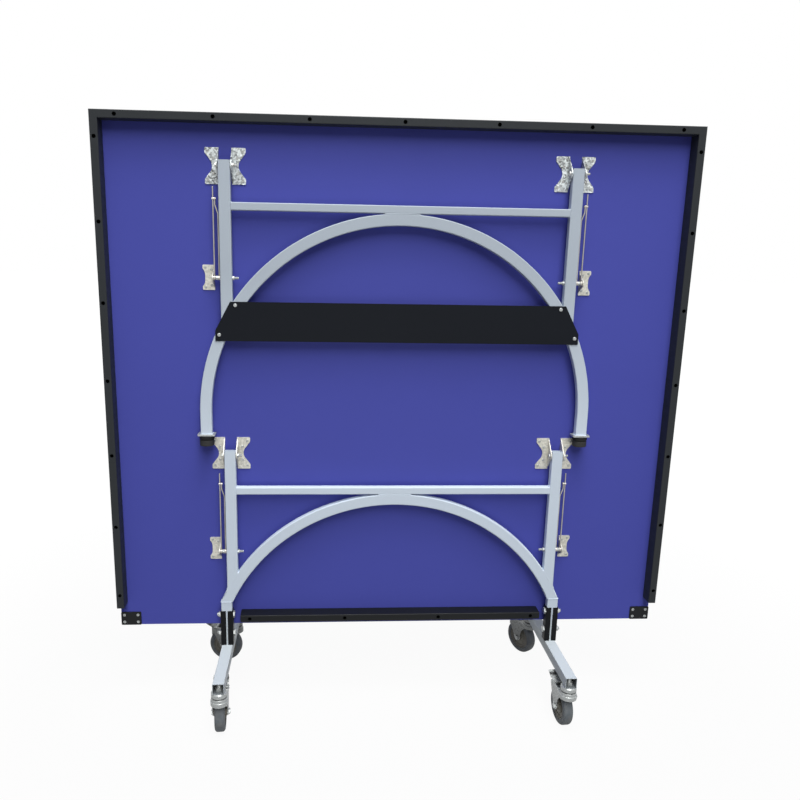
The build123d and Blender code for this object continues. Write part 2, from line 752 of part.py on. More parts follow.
# Folding stays: the board arm runs past the joint as a finger grip, the leg arm jogs out to meet it
for leg, axis_z in (("wheel_leg", hinge_z), ("end_leg", end_hinge_z)):
    pivot_z = axis_z - STAY_DROP
    joint_z = pivot_z + stay_arm
    for name, way in (("left", -1), ("right", 1)):
        arm_x = way * (leg_x + board_arm_s)
        link_x = way * (leg_x + link_s)
        with BuildPart() as board_arm:
            with BuildSketch(level(pivot_z)):
                with Locations((arm_x + way * EYE_THICK / 2, 0)):
                    Circle(WIRE_R)
            extrude(amount=stay_arm + STAY_TIP)
            fillet(board_arm.faces().sort_by(Axis.Z)[-1].edges(), TIP_EASE)
            add_eye(arm_x, way * EYE_THICK, pivot_z, EYE_R)
            add_eye(link_x, way * LINK_THICK, joint_z, LINK_R)
            add_eye(link_x + way * LINK_THICK, way * STAY_RIVET, joint_z, STAY_RIVET_R)
            cut_pivot(arm_x, way * EYE_THICK, pivot_z)
        save(board_arm, f"{leg}_stay_board_arm_{name}")

        low_x = way * (leg_x + leg_arm_s)
        high_x = way * (leg_x + link_s - PASS_GAP)
        wire_low = low_x + way * EYE_THICK / 2
        wire_high = high_x - way * LINK_THICK / 2
        with BuildPart() as leg_arm:
            with BuildLine(front()) as route:
                FilletPolyline(
                    (wire_low, pivot_z),
                    (wire_low, joint_z - JOG_LOW),
                    (wire_high, joint_z - JOG_HIGH),
                    (wire_high, joint_z),
                    radius=JOG_R,
                )
            with BuildSketch(Plane(origin=route.line @ 0, z_dir=route.line % 0)):
                Circle(WIRE_R)
            sweep()
            add_eye(low_x, way * EYE_THICK, pivot_z, EYE_R)
            add_eye(high_x, -way * LINK_THICK, joint_z, LINK_R)
            add_eye(high_x - way * LINK_THICK, -way * STAY_RIVET, joint_z, STAY_RIVET_R)
            cut_pivot(low_x, way * EYE_THICK, pivot_z)
        save(leg_arm, f"{leg}_stay_leg_arm_{name}")

# Foot of the wheeled leg
bolt_levels = [cheek_top - CHEEK_BOLT_DROP, cheek_top - CHEEK_BOLT_DROP - CHEEK_BOLT_STEP]
cheek_out = TONGUE_THICK / 2 + CHEEK_WIDE

with BuildPart() as leg_stubs:
    with BuildSketch(level(cheek_top)):
        with Locations((-stub_x, 0), (stub_x, 0)):
            RectangleRounded(TUBE_WIDE, TUBE_DEEP, TUBE_ROUND)
            RectangleRounded(bore_wide, bore_deep, bore_round, mode=Mode.SUBTRACT)
    extrude(amount=STUB_TALL)
save(leg_stubs, "leg_stubs")

with BuildPart() as tongue_plates:
    with BuildSketch(level(base_top)):
        with Locations((-stub_x, 0), (stub_x, 0)):
            Rectangle(TONGUE_THICK, TUBE_DEEP)
    extrude(amount=CHEEK_TALL)
    with BuildSketch(side(0)):
        with Locations(*[(0, z) for z in bolt_levels]):
            Circle(CHEEK_BOLT_R + SEAT_FIT)
    extrude(amount=stub_x + TONGUE_THICK, both=True, mode=Mode.SUBTRACT)
save(tongue_plates, "tongue_plates")

with BuildPart() as clamp_cheeks:
    with BuildSketch(level(base_top)):
        offset = cheek_out - CHEEK_WIDE / 2
        with Locations(*[(way * stub_x + part * offset, 0) for way in (-1, 1) for part in (-1, 1)]):
            RectangleRounded(CHEEK_WIDE, CHEEK_DEEP, CHEEK_ROUND)
    extrude(amount=CHEEK_TALL)
    with BuildSketch(side(0)):
        with Locations(*[(0, z) for z in bolt_levels]):
            Circle(CHEEK_BOLT_R + SEAT_FIT)
    extrude(amount=stub_x + 2 * cheek_out, both=True, mode=Mode.SUBTRACT)
save(clamp_cheeks, "clamp_cheeks")

with BuildPart() as cheek_bolts:
    sizes = (CHEEK_BOLT_R, CHEEK_HEAD_R, CHEEK_HEAD, CHEEK_NUT_R, CHEEK_NUT, CHEEK_OVER)
    for way in (-1, 1):
        for z in bolt_levels:
            add_bolt(z, way * (stub_x - cheek_out), way, 2 * cheek_out, *sizes)
save(cheek_bolts, "cheek_bolts")

for name, x in (("left", -stub_x), ("right", stub_x)):
    with BuildPart() as base_tube:
        with BuildSketch(front(BASE_LENGTH / 2)):
            with Locations((x, base_low + BASE_SIZE / 2)):
                RectangleRounded(BASE_SIZE, BASE_SIZE, TUBE_ROUND)
                base_bore = BASE_SIZE - 2 * BASE_WALL
                RectangleRounded(base_bore, base_bore, TUBE_ROUND - BASE_WALL, mode=Mode.SUBTRACT)
        extrude(amount=-BASE_LENGTH)
        with BuildSketch(level(base_low)):
            with Locations((x, -swivel_y), (x, swivel_y)):
                Circle(STUD_R + SEAT_FIT)
        extrude(amount=BASE_WALL, mode=Mode.SUBTRACT)
    save(base_tube, f"base_tube_{name}")

# Caster studs: king pin, upper ball race and nut, fixed in the base tubes
swivels = [(x, y) for x in (-stub_x, stub_x) for y in (-swivel_y, swivel_y)]
with BuildPart() as caster_studs:
    with BuildSketch(level(crown_z - STUD_HEAD - PASS_GAP)):
        with Locations(*swivels):
            Circle(STUD_HEAD_R)
    extrude(amount=STUD_HEAD)
    with BuildSketch(level(race_mid + PASS_GAP)):
        with Locations(*swivels):
            Circle(RACE_R)
    upper_races = extrude(amount=base_low - race_mid - PASS_GAP)
    chamfer(upper_races.edges().filter_by(GeomType.CIRCLE).group_by(Axis.Z)[-1], RACE_EASE)
    with BuildSketch(level(crown_z - STUD_HEAD - PASS_GAP)):
        with Locations(*swivels):
            Circle(STUD_R)
    extrude(amount=base_top - BASE_WALL - STUD_TOP_GAP - crown_z + STUD_HEAD + PASS_GAP)
    with BuildSketch(level(base_low + BASE_WALL)):
        with Locations(*swivels):
            RegularPolygon(STUD_NUT_R, 6, major_radius=False)
            Circle(STUD_R + SEAT_FIT, mode=Mode.SUBTRACT)
    extrude(amount=STUD_NUT)
save(caster_studs, "caster_studs")


def caster_planes(x, y, turn):
    """Two planes with x along the trail: one facing up, and one facing along the axle, with its y up."""
    trail = (-sin(radians(turn)), cos(radians(turn)), 0)
    axle = (cos(radians(turn)), sin(radians(turn)), 0)
    origin = (x, leg_y + y, 0)
    return Plane(origin=origin, x_dir=trail, z_dir=(0, 0, 1)), Plane(origin=origin, x_dir=trail, z_dir=axle)


def caster_fork(flat, across):
    with BuildPart() as fork:
        with BuildSketch(flat.offset(crown_z)):
            Circle(CROWN_FRONT)
            with Locations((CROWN_BACK / 2, 0)):
                Rectangle(CROWN_BACK, 2 * fork_out)
            make_hull()
        extrude(amount=CROWN_THICK)
        fillet(fork.edges().group_by(Axis.Z)[-1], CROWN_EASE)
        for way in (-1, 1):
            with BuildSketch(across.offset(way * fork_in)):
                Polygon(*box_corners(-CROWN_SIDE, CROWN_BACK, crown_z - CROWN_THICK, race_low - CROWN_EASE))
                with Locations((TRAIL, WHEEL_R)):
                    Circle(FORK_BOSS_R)
                with Locations((PEDAL_U, PEDAL_Z)):
                    Circle(LUG_R)
                make_hull()
                with Locations((TRAIL - FORK_CUT_BACK, WHEEL_R + FORK_CUT_UP)):
                    Circle(FORK_CUT_R, mode=Mode.SUBTRACT)
                with Locations((TRAIL, WHEEL_R)):
                    Circle(AXLE_R + SEAT_FIT, mode=Mode.SUBTRACT)
                with Locations((PEDAL_U, PEDAL_Z)):
                    Circle(PEDAL_PIN_R + SEAT_FIT, mode=Mode.SUBTRACT)
            extrude(amount=way * FORK_PLATE)
        with BuildSketch(flat.offset(crown_z)):
            Circle(CROWN_FRONT)
            Circle(CROWN_FRONT - FORK_PLATE, mode=Mode.SUBTRACT)
            with Locations((CROWN_FRONT, 0)):
                Rectangle(2 * CROWN_FRONT, 2 * CROWN_FRONT, mode=Mode.SUBTRACT)
        extrude(amount=-SKIRT_TALL)
        with BuildSketch(flat.offset(race_low)):
            Circle(RACE_R)
        race = extrude(amount=RACE_TALL)
        chamfer(race.edges().filter_by(GeomType.CIRCLE).group_by(Axis.Z)[-1], RACE_EASE)
        with BuildSketch(flat.offset(crown_z)):
            Circle(STUD_R + RUN_FIT)
        extrude(amount=CROWN_THICK + RACE_TALL, mode=Mode.SUBTRACT)
        # Axle bolt with its nut, and the pedal's pin, as solids of their own
        seat = fork_out + SEAT_FIT
        with BuildSketch(across.offset(-seat)):
            with Locations((TRAIL, WHEEL_R)):
                RegularPolygon(AXLE_HEAD_R, 6, major_radius=False)
        extrude(amount=-AXLE_HEAD)
        with BuildSketch(across.offset(-seat)):
            with Locations((TRAIL, WHEEL_R)):
                Circle(AXLE_R)
        extrude(amount=2 * seat + AXLE_NUT + AXLE_OVER)
        with BuildSketch(across.offset(seat)):
            with Locations((TRAIL, WHEEL_R)):
                RegularPolygon(AXLE_HEAD_R, 6, major_radius=False)
                Circle(AXLE_R + SEAT_FIT, mode=Mode.SUBTRACT)
        extrude(amount=AXLE_NUT)
        with BuildSketch(across):
            with Locations((PEDAL_U, PEDAL_Z)):
                Circle(PEDAL_PIN_R)
        extrude(amount=seat, both=True)
        for way in (-1, 1):
            with BuildSketch(across.offset(way * seat)):
                with Locations((PEDAL_U, PEDAL_Z)):
                    Circle(PEDAL_PIN_HEAD_R)
            extrude(amount=way * PEDAL_PIN_HEAD)
    return fork


def caster_hub(across):
    with BuildPart() as hub:
        with BuildSketch(across):
            with Locations((TRAIL, WHEEL_R)):
                Circle(HUB_R)
        extrude(amount=HUB_WIDE / 2, both=True)
        for way in (-1, 1):
            with BuildSketch(across.offset(way * HUB_WIDE / 2)):
                with Locations((TRAIL, WHEEL_R)):
                    Circle(HUB_R - HUB_RIM)
                    Circle(HUB_BOSS_R, mode=Mode.SUBTRACT)
            extrude(amount=-way * HUB_DISH, mode=Mode.SUBTRACT)
        with BuildSketch(across):
            with Locations((TRAIL, WHEEL_R)):
                Circle(HUB_BOSS_R)
        extrude(amount=fork_in - PASS_GAP, both=True)
        with BuildSketch(across):
            with Locations((TRAIL, WHEEL_R)):
                Circle(AXLE_R + RUN_FIT)
        extrude(amount=fork_in, both=True, mode=Mode.SUBTRACT)
    return hub


def caster_tyre(across):
    with BuildPart() as tyre:
        with BuildSketch(across):
            with Locations((TRAIL, WHEEL_R)):
                Circle(WHEEL_R)
        extrude(amount=TREAD_WIDE / 2, both=True)
        fillet(tyre.edges().filter_by(GeomType.CIRCLE), TREAD_ROUND)
        with BuildSketch(across):
            with Locations((TRAIL, WHEEL_R)):
                Circle(HUB_R + SEAT_FIT)
        extrude(amount=TREAD_WIDE, both=True, mode=Mode.SUBTRACT)
    return tyre


def brake_pedal(across):
    """Pedal at rest with the brake on: its pad lies just off the tyre, and it lifts about the pin."""
    arm_half = fork_in - PASS_GAP
    tread_start = PEDAL_U + LUG_R + LUG_GAP
    top_z = PEDAL_Z + BARREL_R
    end_z = top_z + PEDAL_RISE
    start_z = top_z + PEDAL_RISE * (tread_start - PEDAL_U) / (PEDAL_END - PEDAL_U)
    with BuildPart() as pedal:
        with BuildSketch(across):
            with Locations((PEDAL_U, PEDAL_Z)):
                Circle(BARREL_R)
        extrude(amount=arm_half, both=True)
        with BuildSketch(across):
            Polygon(
                (PEDAL_U, top_z),
                (PEDAL_U, top_z - PEDAL_THICK),
                (PEDAL_END, end_z - PEDAL_THICK),
                (PEDAL_END, end_z),
            )
        extrude(amount=arm_half, both=True)
        with BuildSketch(across):
            Polygon(
                (tread_start, start_z),
                (tread_start, start_z - PEDAL_THICK),
                (PEDAL_END, end_z - PEDAL_THICK),
                (PEDAL_END, end_z),
            )
        extrude(amount=PEDAL_WIDE / 2, both=True)
        with BuildSketch(across):
            pad_from = PEDAL_U + PAD_START
            Polygon(*box_corners(pad_from, pad_from + PAD_LONG, WHEEL_R, top_z - PEDAL_THICK / 2))
        extrude(amount=PAD_WIDE / 2, both=True)
        with BuildSketch(across):
            with Locations((TRAIL, WHEEL_R)):
                Circle(WHEEL_R + PAD_GAP)
        extrude(amount=PEDAL_WIDE, both=True, mode=Mode.SUBTRACT)
        with BuildSketch(across):
            with Locations((PEDAL_U, PEDAL_Z)):
                Circle(PEDAL_PIN_R + RUN_FIT)
        extrude(amount=PEDAL_WIDE, both=True, mode=Mode.SUBTRACT)
    return pedal


for name, turn in CASTER_TURN.items():
    x = stub_x if name.endswith("right") else -stub_x
    y = swivel_y if name.startswith("rear") else -swivel_y
    flat, across = caster_planes(x, y, turn)
    save(caster_fork(flat, across), f"caster_fork_{name}")
    save(caster_hub(across), f"caster_hub_{name}")
    save(caster_tyre(across), f"caster_tyre_{name}")
    save(brake_pedal(across), f"brake_pedal_{name}")
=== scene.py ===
# %% [markdown]
# # Half of a ping pong table, parked upright
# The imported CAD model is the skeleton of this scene: every tube, bracket and screw already stands in its
# place, in metres. This notebook adds the camera, the light, the finishes and the fine pieces that a CAD
# model leaves out, such as weld beads, bolt threads and moulded wheels.

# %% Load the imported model
import bpy
import json
import math
import numpy as np
from mathutils import Matrix, Vector


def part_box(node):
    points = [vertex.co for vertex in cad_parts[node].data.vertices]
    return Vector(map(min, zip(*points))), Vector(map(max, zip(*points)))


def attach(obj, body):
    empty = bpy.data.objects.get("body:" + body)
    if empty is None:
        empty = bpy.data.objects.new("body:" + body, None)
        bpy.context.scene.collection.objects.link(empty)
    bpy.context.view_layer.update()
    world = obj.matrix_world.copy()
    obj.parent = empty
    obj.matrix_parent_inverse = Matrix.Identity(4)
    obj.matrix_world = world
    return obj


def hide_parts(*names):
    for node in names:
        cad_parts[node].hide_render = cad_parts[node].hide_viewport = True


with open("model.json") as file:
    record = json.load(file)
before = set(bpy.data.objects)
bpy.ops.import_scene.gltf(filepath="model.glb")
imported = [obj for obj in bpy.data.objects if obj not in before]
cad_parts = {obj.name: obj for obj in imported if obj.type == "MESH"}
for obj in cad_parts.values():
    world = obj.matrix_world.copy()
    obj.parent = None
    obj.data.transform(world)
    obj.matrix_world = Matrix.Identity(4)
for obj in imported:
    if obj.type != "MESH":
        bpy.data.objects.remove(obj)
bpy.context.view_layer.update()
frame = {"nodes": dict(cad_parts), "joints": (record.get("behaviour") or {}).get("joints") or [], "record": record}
nodes = frame["nodes"]
joints = {joint["name"]: joint for joint in frame["joints"]}
slot_of = {part["node"]: part["material_slot"] for part in frame["record"]["subparts"]}
leg_y = joints["board_fold"]["pos_m"][1]

# %% [markdown]
# ## Camera
# The photo is taken a little above the middle of the board and from its left, looking slightly down, so the
# board narrows towards the floor. The lens and the angles were fitted to the corners of the rim, the ends of
# the base tubes and the wheels. A small sideways shift stands for the cropping of the picture.

# %% Place the camera
IMAGE_PX = 800
FOCAL_PX = 721.25
CENTRE_PX = (364.7, 400.7)
CAMERA_AT = (-0.1986, leg_y - 1.8775, 1.2661)
PITCH, ROLL, YAW = -0.2099, -0.0062, -0.0569

lens = bpy.data.cameras.new("photo_camera")
lens.sensor_width = 36.0
lens.lens = FOCAL_PX / IMAGE_PX * lens.sensor_width
lens.shift_x = 0.5 - CENTRE_PX[0] / IMAGE_PX
lens.shift_y = CENTRE_PX[1] / IMAGE_PX - 0.5
camera = bpy.data.objects.new("photo_camera", lens)
bpy.context.scene.collection.objects.link(camera)
turn = Matrix.Rotation(ROLL, 3, "Y") @ Matrix.Rotation(PITCH, 3, "X") @ Matrix.Rotation(YAW, 3, "Z")
right, ahead, up = turn.col
camera.matrix_world = Matrix.Translation(CAMERA_AT) @ Matrix((right, up, -ahead)).transposed().to_4x4()
bpy.context.scene.camera = camera
print("lens mm", round(lens.lens, 2))

# %% [markdown]
# ## Node trees
# A finish in Blender is a tree of nodes, and each node does one small step. Such a tree can be drawn by hand
# in the shader editor. Here a helper adds one node and gives back its output, so a finish reads like a sum.


# %% Helpers for node trees
def shade(material):
    """Empty node tree of a material, with its output node."""
    material.use_nodes = True
    tree = material.node_tree
    tree.nodes.clear()
    return tree, tree.nodes.new("ShaderNodeOutputMaterial")


def feed(tree, value, socket):
    """Links an output socket, or sets a plain value."""
    if isinstance(value, bpy.types.NodeSocket):
        tree.links.new(value, socket)
    else:
        socket.default_value = value


def reckon(tree, operation, first, second=0.0, third=0.0, clamp=False):
    """One sum or comparison of up to three values."""
    node = tree.nodes.new("ShaderNodeMath")
    node.operation = operation
    node.use_clamp = clamp
    for value, socket in zip((first, second, third), node.inputs):
        feed(tree, value, socket)
    return node.outputs[0]


def spread(tree, value, low, high, to_low=0.0, to_high=1.0):
    """Maps low..high to to_low..to_high along a straight line, and holds the ends."""
    node = tree.nodes.new("ShaderNodeMapRange")
    feed(tree, value, node.inputs["Value"])
    feed(tree, low, node.inputs["From Min"])
    feed(tree, high, node.inputs["From Max"])
    feed(tree, to_low, node.inputs["To Min"])
    feed(tree, to_high, node.inputs["To Max"])
    return node.outputs["Result"]


def object_place(tree, scale=None):
    """Object coordinates, stretched by a scale where one is given."""
    place = tree.nodes.new("ShaderNodeTexCoord").outputs["Object"]
    if scale is None:
        return place
    mapping = tree.nodes.new("ShaderNodeMapping")
    mapping.inputs["Scale"].default_value = scale
    tree.links.new(place, mapping.inputs["Vector"])
    return mapping.outputs["Vector"]


def object_axes(tree):
    """Object coordinates as separate X, Y and Z sockets."""
    parts = tree.nodes.new("ShaderNodeSeparateXYZ")
    tree.links.new(object_place(tree), parts.inputs[0])
    return parts.outputs


def seen_directly(tree):
    """1 for rays from the camera, mirrors and glass, 0 for light that bounces."""
    path = tree.nodes.new("ShaderNodeLightPath").outputs
    mirrored = reckon(tree, "MAXIMUM", path["Is Camera Ray"], path["Is Glossy Ray"])
    return reckon(tree, "MAXIMUM", mirrored, path["Is Transmission Ray"])


# %% [markdown]
# ## Floor and light
# The photo is cut out on white, with soft light from above: the shadows under the top rim and the crossbars
# are deep where they touch and fade within a hand's width. One very tall lamp gives such shadows. A smaller
# one overhead lights the tops of the base tubes, a weak one near the floor stands for light that the ground
# throws back, and one behind lights the playing face. The floor stays white to the camera and still takes a
# faint shadow, because only a part of its colour is its own glow. That part grows with the distance, so no
# horizon shows.


# %% Build the lamps
def add_lamp(name, place, target, wide, tall, watts):
    """Area lamp at a place, turned to face a target."""
    data = bpy.data.lights.new(name, "AREA")
    data.shape = "RECTANGLE"
    data.size = wide
    data.size_y = tall
    data.energy = watts
    lamp = bpy.data.objects.new(name, data)
    lamp.location = place
    lamp.rotation_euler = (Vector(target) - Vector(place)).to_track_quat("-Z", "Y").to_euler()
    bpy.context.scene.collection.objects.link(lamp)


add_lamp("key_lamp", (0.4, -4.4, 7.6), (0, 0, 0.8), wide=4.0, tall=9.0, watts=800)
add_lamp("top_lamp", (0.2, -0.9, 5.4), (0, -0.1, 0), wide=1.8, tall=1.8, watts=110)
add_lamp("front_lamp", (0.0, -2.2, 0.2), (0, 0, 0.3), wide=1.2, tall=1.2, watts=6)
add_lamp("back_lamp", (-0.8, 3.4, 2.8), (0, 0, 0.8), wide=3.0, tall=3.0, watts=60)
print("lamps", [lamp.name for lamp in bpy.data.lights])

# %% Build the floor
WHITE = (1, 1, 1, 1)
FLOOR_GREY = (0.18, 0.18, 0.18, 1)
FLOOR_HALF = 30
GLOW = 1.1
GLOW_REACH = (1.0, 4.0)
GLOW_SHARE = (0.86, 0.97)

floor_paint = bpy.data.materials.new("studio_floor")
tree, output = shade(floor_paint)
matt = tree.nodes.new("ShaderNodeBsdfDiffuse")
matt.inputs["Color"].default_value = FLOOR_GREY
glow = tree.nodes.new("ShaderNodeEmission")
glow.inputs["Color"].default_value = WHITE
glow.inputs["Strength"].default_value = GLOW
distance = tree.nodes.new("ShaderNodeVectorMath")
distance.operation = "LENGTH"
tree.links.new(object_place(tree), distance.inputs[0])
share = spread(tree, distance.outputs["Value"], *GLOW_REACH, *GLOW_SHARE)
mix = tree.nodes.new("ShaderNodeMixShader")
tree.links.new(reckon(tree, "MULTIPLY", seen_directly(tree), share), mix.inputs[0])
tree.links.new(matt.outputs[0], mix.inputs[1])
tree.links.new(glow.outputs[0], mix.inputs[2])
tree.links.new(mix.outputs[0], output.inputs["Surface"])

corners = [(x * FLOOR_HALF, y * FLOOR_HALF, 0) for x, y in ((-1, -1), (1, -1), (1, 1), (-1, 1))]
floor_mesh = bpy.data.meshes.new("studio_floor")
floor_mesh.from_pydata(corners, [], [(0, 1, 2, 3)])
floor_mesh.materials.append(floor_paint)
floor = bpy.data.objects.new("studio_floor", floor_mesh)
bpy.context.scene.collection.objects.link(floor)

# %% Light the room
ROOM_TINT = (0.97, 0.98, 1.0, 1)
ROOM_LIGHT = 0.12

world = bpy.data.worlds.new("studio")
bpy.context.scene.world = world
world.use_nodes = True
sky = world.node_tree
sky.nodes.clear()
choice = sky.nodes.new("ShaderNodeMixShader")
sky.links.new(seen_directly(sky), choice.inputs[0])
for colour, strength, socket in ((ROOM_TINT, ROOM_LIGHT, choice.inputs[1]), (WHITE, 1.0, choice.inputs[2])):
    wall = sky.nodes.new("ShaderNodeBackground")
    wall.inputs["Color"].default_value = colour
    wall.inputs["Strength"].default_value = strength
    sky.links.new(wall.outputs[0], socket)
sky_output = sky.nodes.new("ShaderNodeOutputWorld")
sky.links.new(choice.outputs[0], sky_output.inputs["Surface"])
bpy.context.scene.view_settings.view_transform = "Standard"
print("floor and room", floor.name, world.name)

# %% [markdown]
# ## Shared effects
# Paint, plating and plastic differ in colour, but they share their flaws: powder coat has a fine orange
# peel, zinc has crystals, and what stands near the floor gathers dust. Each flaw is one shader group with
# named inputs, so a material only picks its own values. Image textures could do the same, but a group
# follows the object's own coordinates and needs no files.


# %% Helpers for shader groups
def new_group(name, inputs, outputs):
    """Shader group with named sockets: (name, kind, default) for inputs and (name, kind) for outputs."""
    group = bpy.data.node_groups.new(name, "ShaderNodeTree")
    for label, kind, value in inputs:
        socket = group.interface.new_socket(label, in_out="INPUT", socket_type=kind)
        socket.default_value = value
    for label, kind in outputs:
        group.interface.new_socket(label, in_out="OUTPUT", socket_type=kind)
    return group, group.nodes.new("NodeGroupInput"), group.nodes.new("NodeGroupOutput")


def noise(tree, place, scale, detail=2.0, roughness=0.5):
    """Cloudy values about 0.5."""
    node = tree.nodes.new("ShaderNodeTexNoise")
    node.inputs["Detail"].default_value = detail
    node.inputs["Roughness"].default_value = roughness
    tree.links.new(place, node.inputs["Vector"])
    feed(tree, scale, node.inputs["Scale"])
    return node.outputs["Fac"]


def blend_colour(tree, factor, first, second):
    """First colour at factor 0, second at 1."""
    node = tree.nodes.new("ShaderNodeMix")
    node.data_type = "RGBA"
    feed(tree, factor, node.inputs["Factor"])
    feed(tree, first, node.inputs[6])
    feed(tree, second, node.inputs[7])
    return node.outputs[2]


def scaled_colour(tree, colour, factor):
    """Colour times a number, as a shade of the same hue."""
    node = tree.nodes.new("ShaderNodeVectorMath")
    node.operation = "SCALE"
    tree.links.new(colour, node.inputs[0])
    feed(tree, factor, node.inputs["Scale"])
    return node.outputs[0]


# %% Group: coat, the skin of paint or powder
coat, given, result = new_group(
    "coat",
    [
        ("Colour", "NodeSocketColor", (0.5, 0.5, 0.5, 1)),
        ("Peel Scale", "NodeSocketFloat", 900.0),
        ("Mottle", "NodeSocketFloat", 0.06),
        ("Roughness", "NodeSocketFloat", 0.45),
        ("Rub", "NodeSocketFloat", 0.1),
    ],
    [("Colour", "NodeSocketColor"), ("Roughness", "NodeSocketFloat"), ("Height", "NodeSocketFloat")],
)
spot = object_place(coat)
peel = noise(coat, spot, given.outputs["Peel Scale"])
clouds = noise(coat, spot, 5.0, detail=4.0, roughness=0.6)
grain = noise(coat, spot, 260.0, detail=3.0, roughness=0.6)
tone = reckon(coat, "MULTIPLY_ADD", reckon(coat, "SUBTRACT", clouds, 0.5), given.outputs["Mottle"], 1.0)
fine = reckon(coat, "MULTIPLY", given.outputs["Mottle"], 0.7)
tone = reckon(coat, "MULTIPLY_ADD", reckon(coat, "SUBTRACT", grain, 0.5), fine, tone)
coat.links.new(scaled_colour(coat, given.outputs["Colour"], tone), result.inputs["Colour"])
rubbed = noise(coat, object_place(coat, (9.0, 9.0, 30.0)), 2.2, detail=5.0, roughness=0.65)
gloss = spread(coat, rubbed, 0.35, 0.75, -0.5, 0.5)
coat.links.new(
    reckon(coat, "MULTIPLY_ADD", gloss, given.outputs["Rub"], given.outputs["Roughness"], clamp=True),
    result.inputs["Roughness"],
)
coat.links.new(peel, result.inputs["Height"])

# %% Group: spangle, the crystals of zinc plate
spangle, given, result = new_group(
    "spangle",
    [
        ("Colour", "NodeSocketColor", (0.6, 0.6, 0.6, 1)),
        ("Crystal Scale", "NodeSocketFloat", 110.0),
        ("Contrast", "NodeSocketFloat", 0.35),
        ("Roughness", "NodeSocketFloat", 0.35),
    ],
    [("Colour", "NodeSocketColor"), ("Roughness", "NodeSocketFloat"), ("Height", "NodeSocketFloat")],
)
spot = object_place(spangle)
cells = spangle.nodes.new("ShaderNodeTexVoronoi")
spangle.links.new(spot, cells.inputs["Vector"])
spangle.links.new(given.outputs["Crystal Scale"], cells.inputs["Scale"])
channels = spangle.nodes.new("ShaderNodeSeparateColor")
spangle.links.new(cells.outputs["Color"], channels.inputs[0])
crystal = reckon(spangle, "SUBTRACT", channels.outputs[0], 0.5)
clouds = noise(spangle, spot, 35.0, detail=4.0, roughness=0.6)
haze = reckon(spangle, "SUBTRACT", clouds, 0.5)
tone = reckon(spangle, "MULTIPLY_ADD", crystal, given.outputs["Contrast"], 1.0)
tone = reckon(spangle, "MULTIPLY_ADD", haze, given.outputs["Contrast"], tone)
spangle.links.new(scaled_colour(spangle, given.outputs["Colour"], tone), result.inputs["Colour"])
shine = reckon(spangle, "MULTIPLY_ADD", channels.outputs[1], 0.22, given.outputs["Roughness"])
shine = reckon(spangle, "MULTIPLY_ADD", haze, 0.3, shine, clamp=True)
spangle.links.new(shine, result.inputs["Roughness"])
relief = reckon(spangle, "ADD", channels.outputs[2], noise(spangle, spot, 500.0))
spangle.links.new(relief, result.inputs["Height"])

# %% Group: floor dust, thickest at the floor
dust, given, result = new_group(
    "floor_dust",
    [
        ("Colour", "NodeSocketColor", (0.2, 0.2, 0.2, 1)),
        ("Roughness", "NodeSocketFloat", 0.5),
        ("Reach", "NodeSocketFloat", 0.12),
        ("Amount", "NodeSocketFloat", 0.3),
    ],
    [("Colour", "NodeSocketColor"), ("Roughness", "NodeSocketFloat")],
)
spot = object_place(dust)
low = spread(dust, object_axes(dust)["Z"], 0.0, given.outputs["Reach"], 1.0, 0.15)
patches = spread(dust, noise(dust, spot, 60.0, detail=5.0, roughness=0.65), 0.38, 0.68)
patches = reckon(dust, "MULTIPLY", low, patches)
mask = reckon(dust, "MULTIPLY", patches, given.outputs["Amount"], clamp=True)
dusty = blend_colour(dust, mask, given.outputs["Colour"], (0.33, 0.31, 0.28, 1))
dust.links.new(dusty, result.inputs["Colour"])
dulled = reckon(dust, "MULTIPLY_ADD", mask, 0.4, given.outputs["Roughness"], clamp=True)
dust.links.new(dulled, result.inputs["Roughness"])

# %% Group: drawn lines, the marks that a die leaves along steel wire
drawn, given, result = new_group(
    "drawn_lines",
    [("Colour", "NodeSocketColor", (0.6, 0.6, 0.6, 1)), ("Roughness", "NodeSocketFloat", 0.3)],
    [("Colour", "NodeSocketColor"), ("Roughness", "NodeSocketFloat"), ("Height", "NodeSocketFloat")],
)
lines = noise(drawn, object_place(drawn, (1.0, 1.0, 0.02)), 1600.0, detail=3.0, roughness=0.6)
tarnish = noise(drawn, object_place(drawn), 40.0, detail=4.0, roughness=0.6)
tone = spread(drawn, lines, 0.3, 0.7, 0.88, 1.1)
tone = reckon(drawn, "MULTIPLY", tone, spread(drawn, tarnish, 0.35, 0.7, 1.05, 0.8))
drawn.links.new(scaled_colour(drawn, given.outputs["Colour"], tone), result.inputs["Colour"])
dulled = reckon(drawn, "MULTIPLY_ADD", tarnish, 0.25, given.outputs["Roughness"], clamp=True)
drawn.links.new(dulled, result.inputs["Roughness"])
drawn.links.new(lines, result.inputs["Height"])
print("groups", [group.name for group in bpy.data.node_groups])

# %% [markdown]
# ## Finishes
# The board is painted blue-violet, its rim and rail are black powder coat, the legs are silver powder coat
# and the small ironwork is zinc plated. Every finish is one Principled shader that takes its colour,
# roughness and bump from the groups above. Numbers that are the same all over sit on the shader itself.
# Parts of one finish differ a little from batch to batch, and some parts carry painted light and shade,
# so some colours are multiplied by a shade that depends on the place on the object.


# %% Helpers for materials
finishes = {}


def new_finish(slot, metallic=0.0, specular=0.5):
    """Material named for a slot of the record, with a Principled shader on its output."""
    material = bpy.data.materials.new(slot)
    tree, output = shade(material)
    skin = tree.nodes.new("ShaderNodeBsdfPrincipled")
    skin.inputs["Metallic"].default_value = metallic
    skin.inputs["Specular IOR Level"].default_value = specular
    tree.links.new(skin.outputs[0], output.inputs["Surface"])
    finishes[slot] = material
    return tree, skin


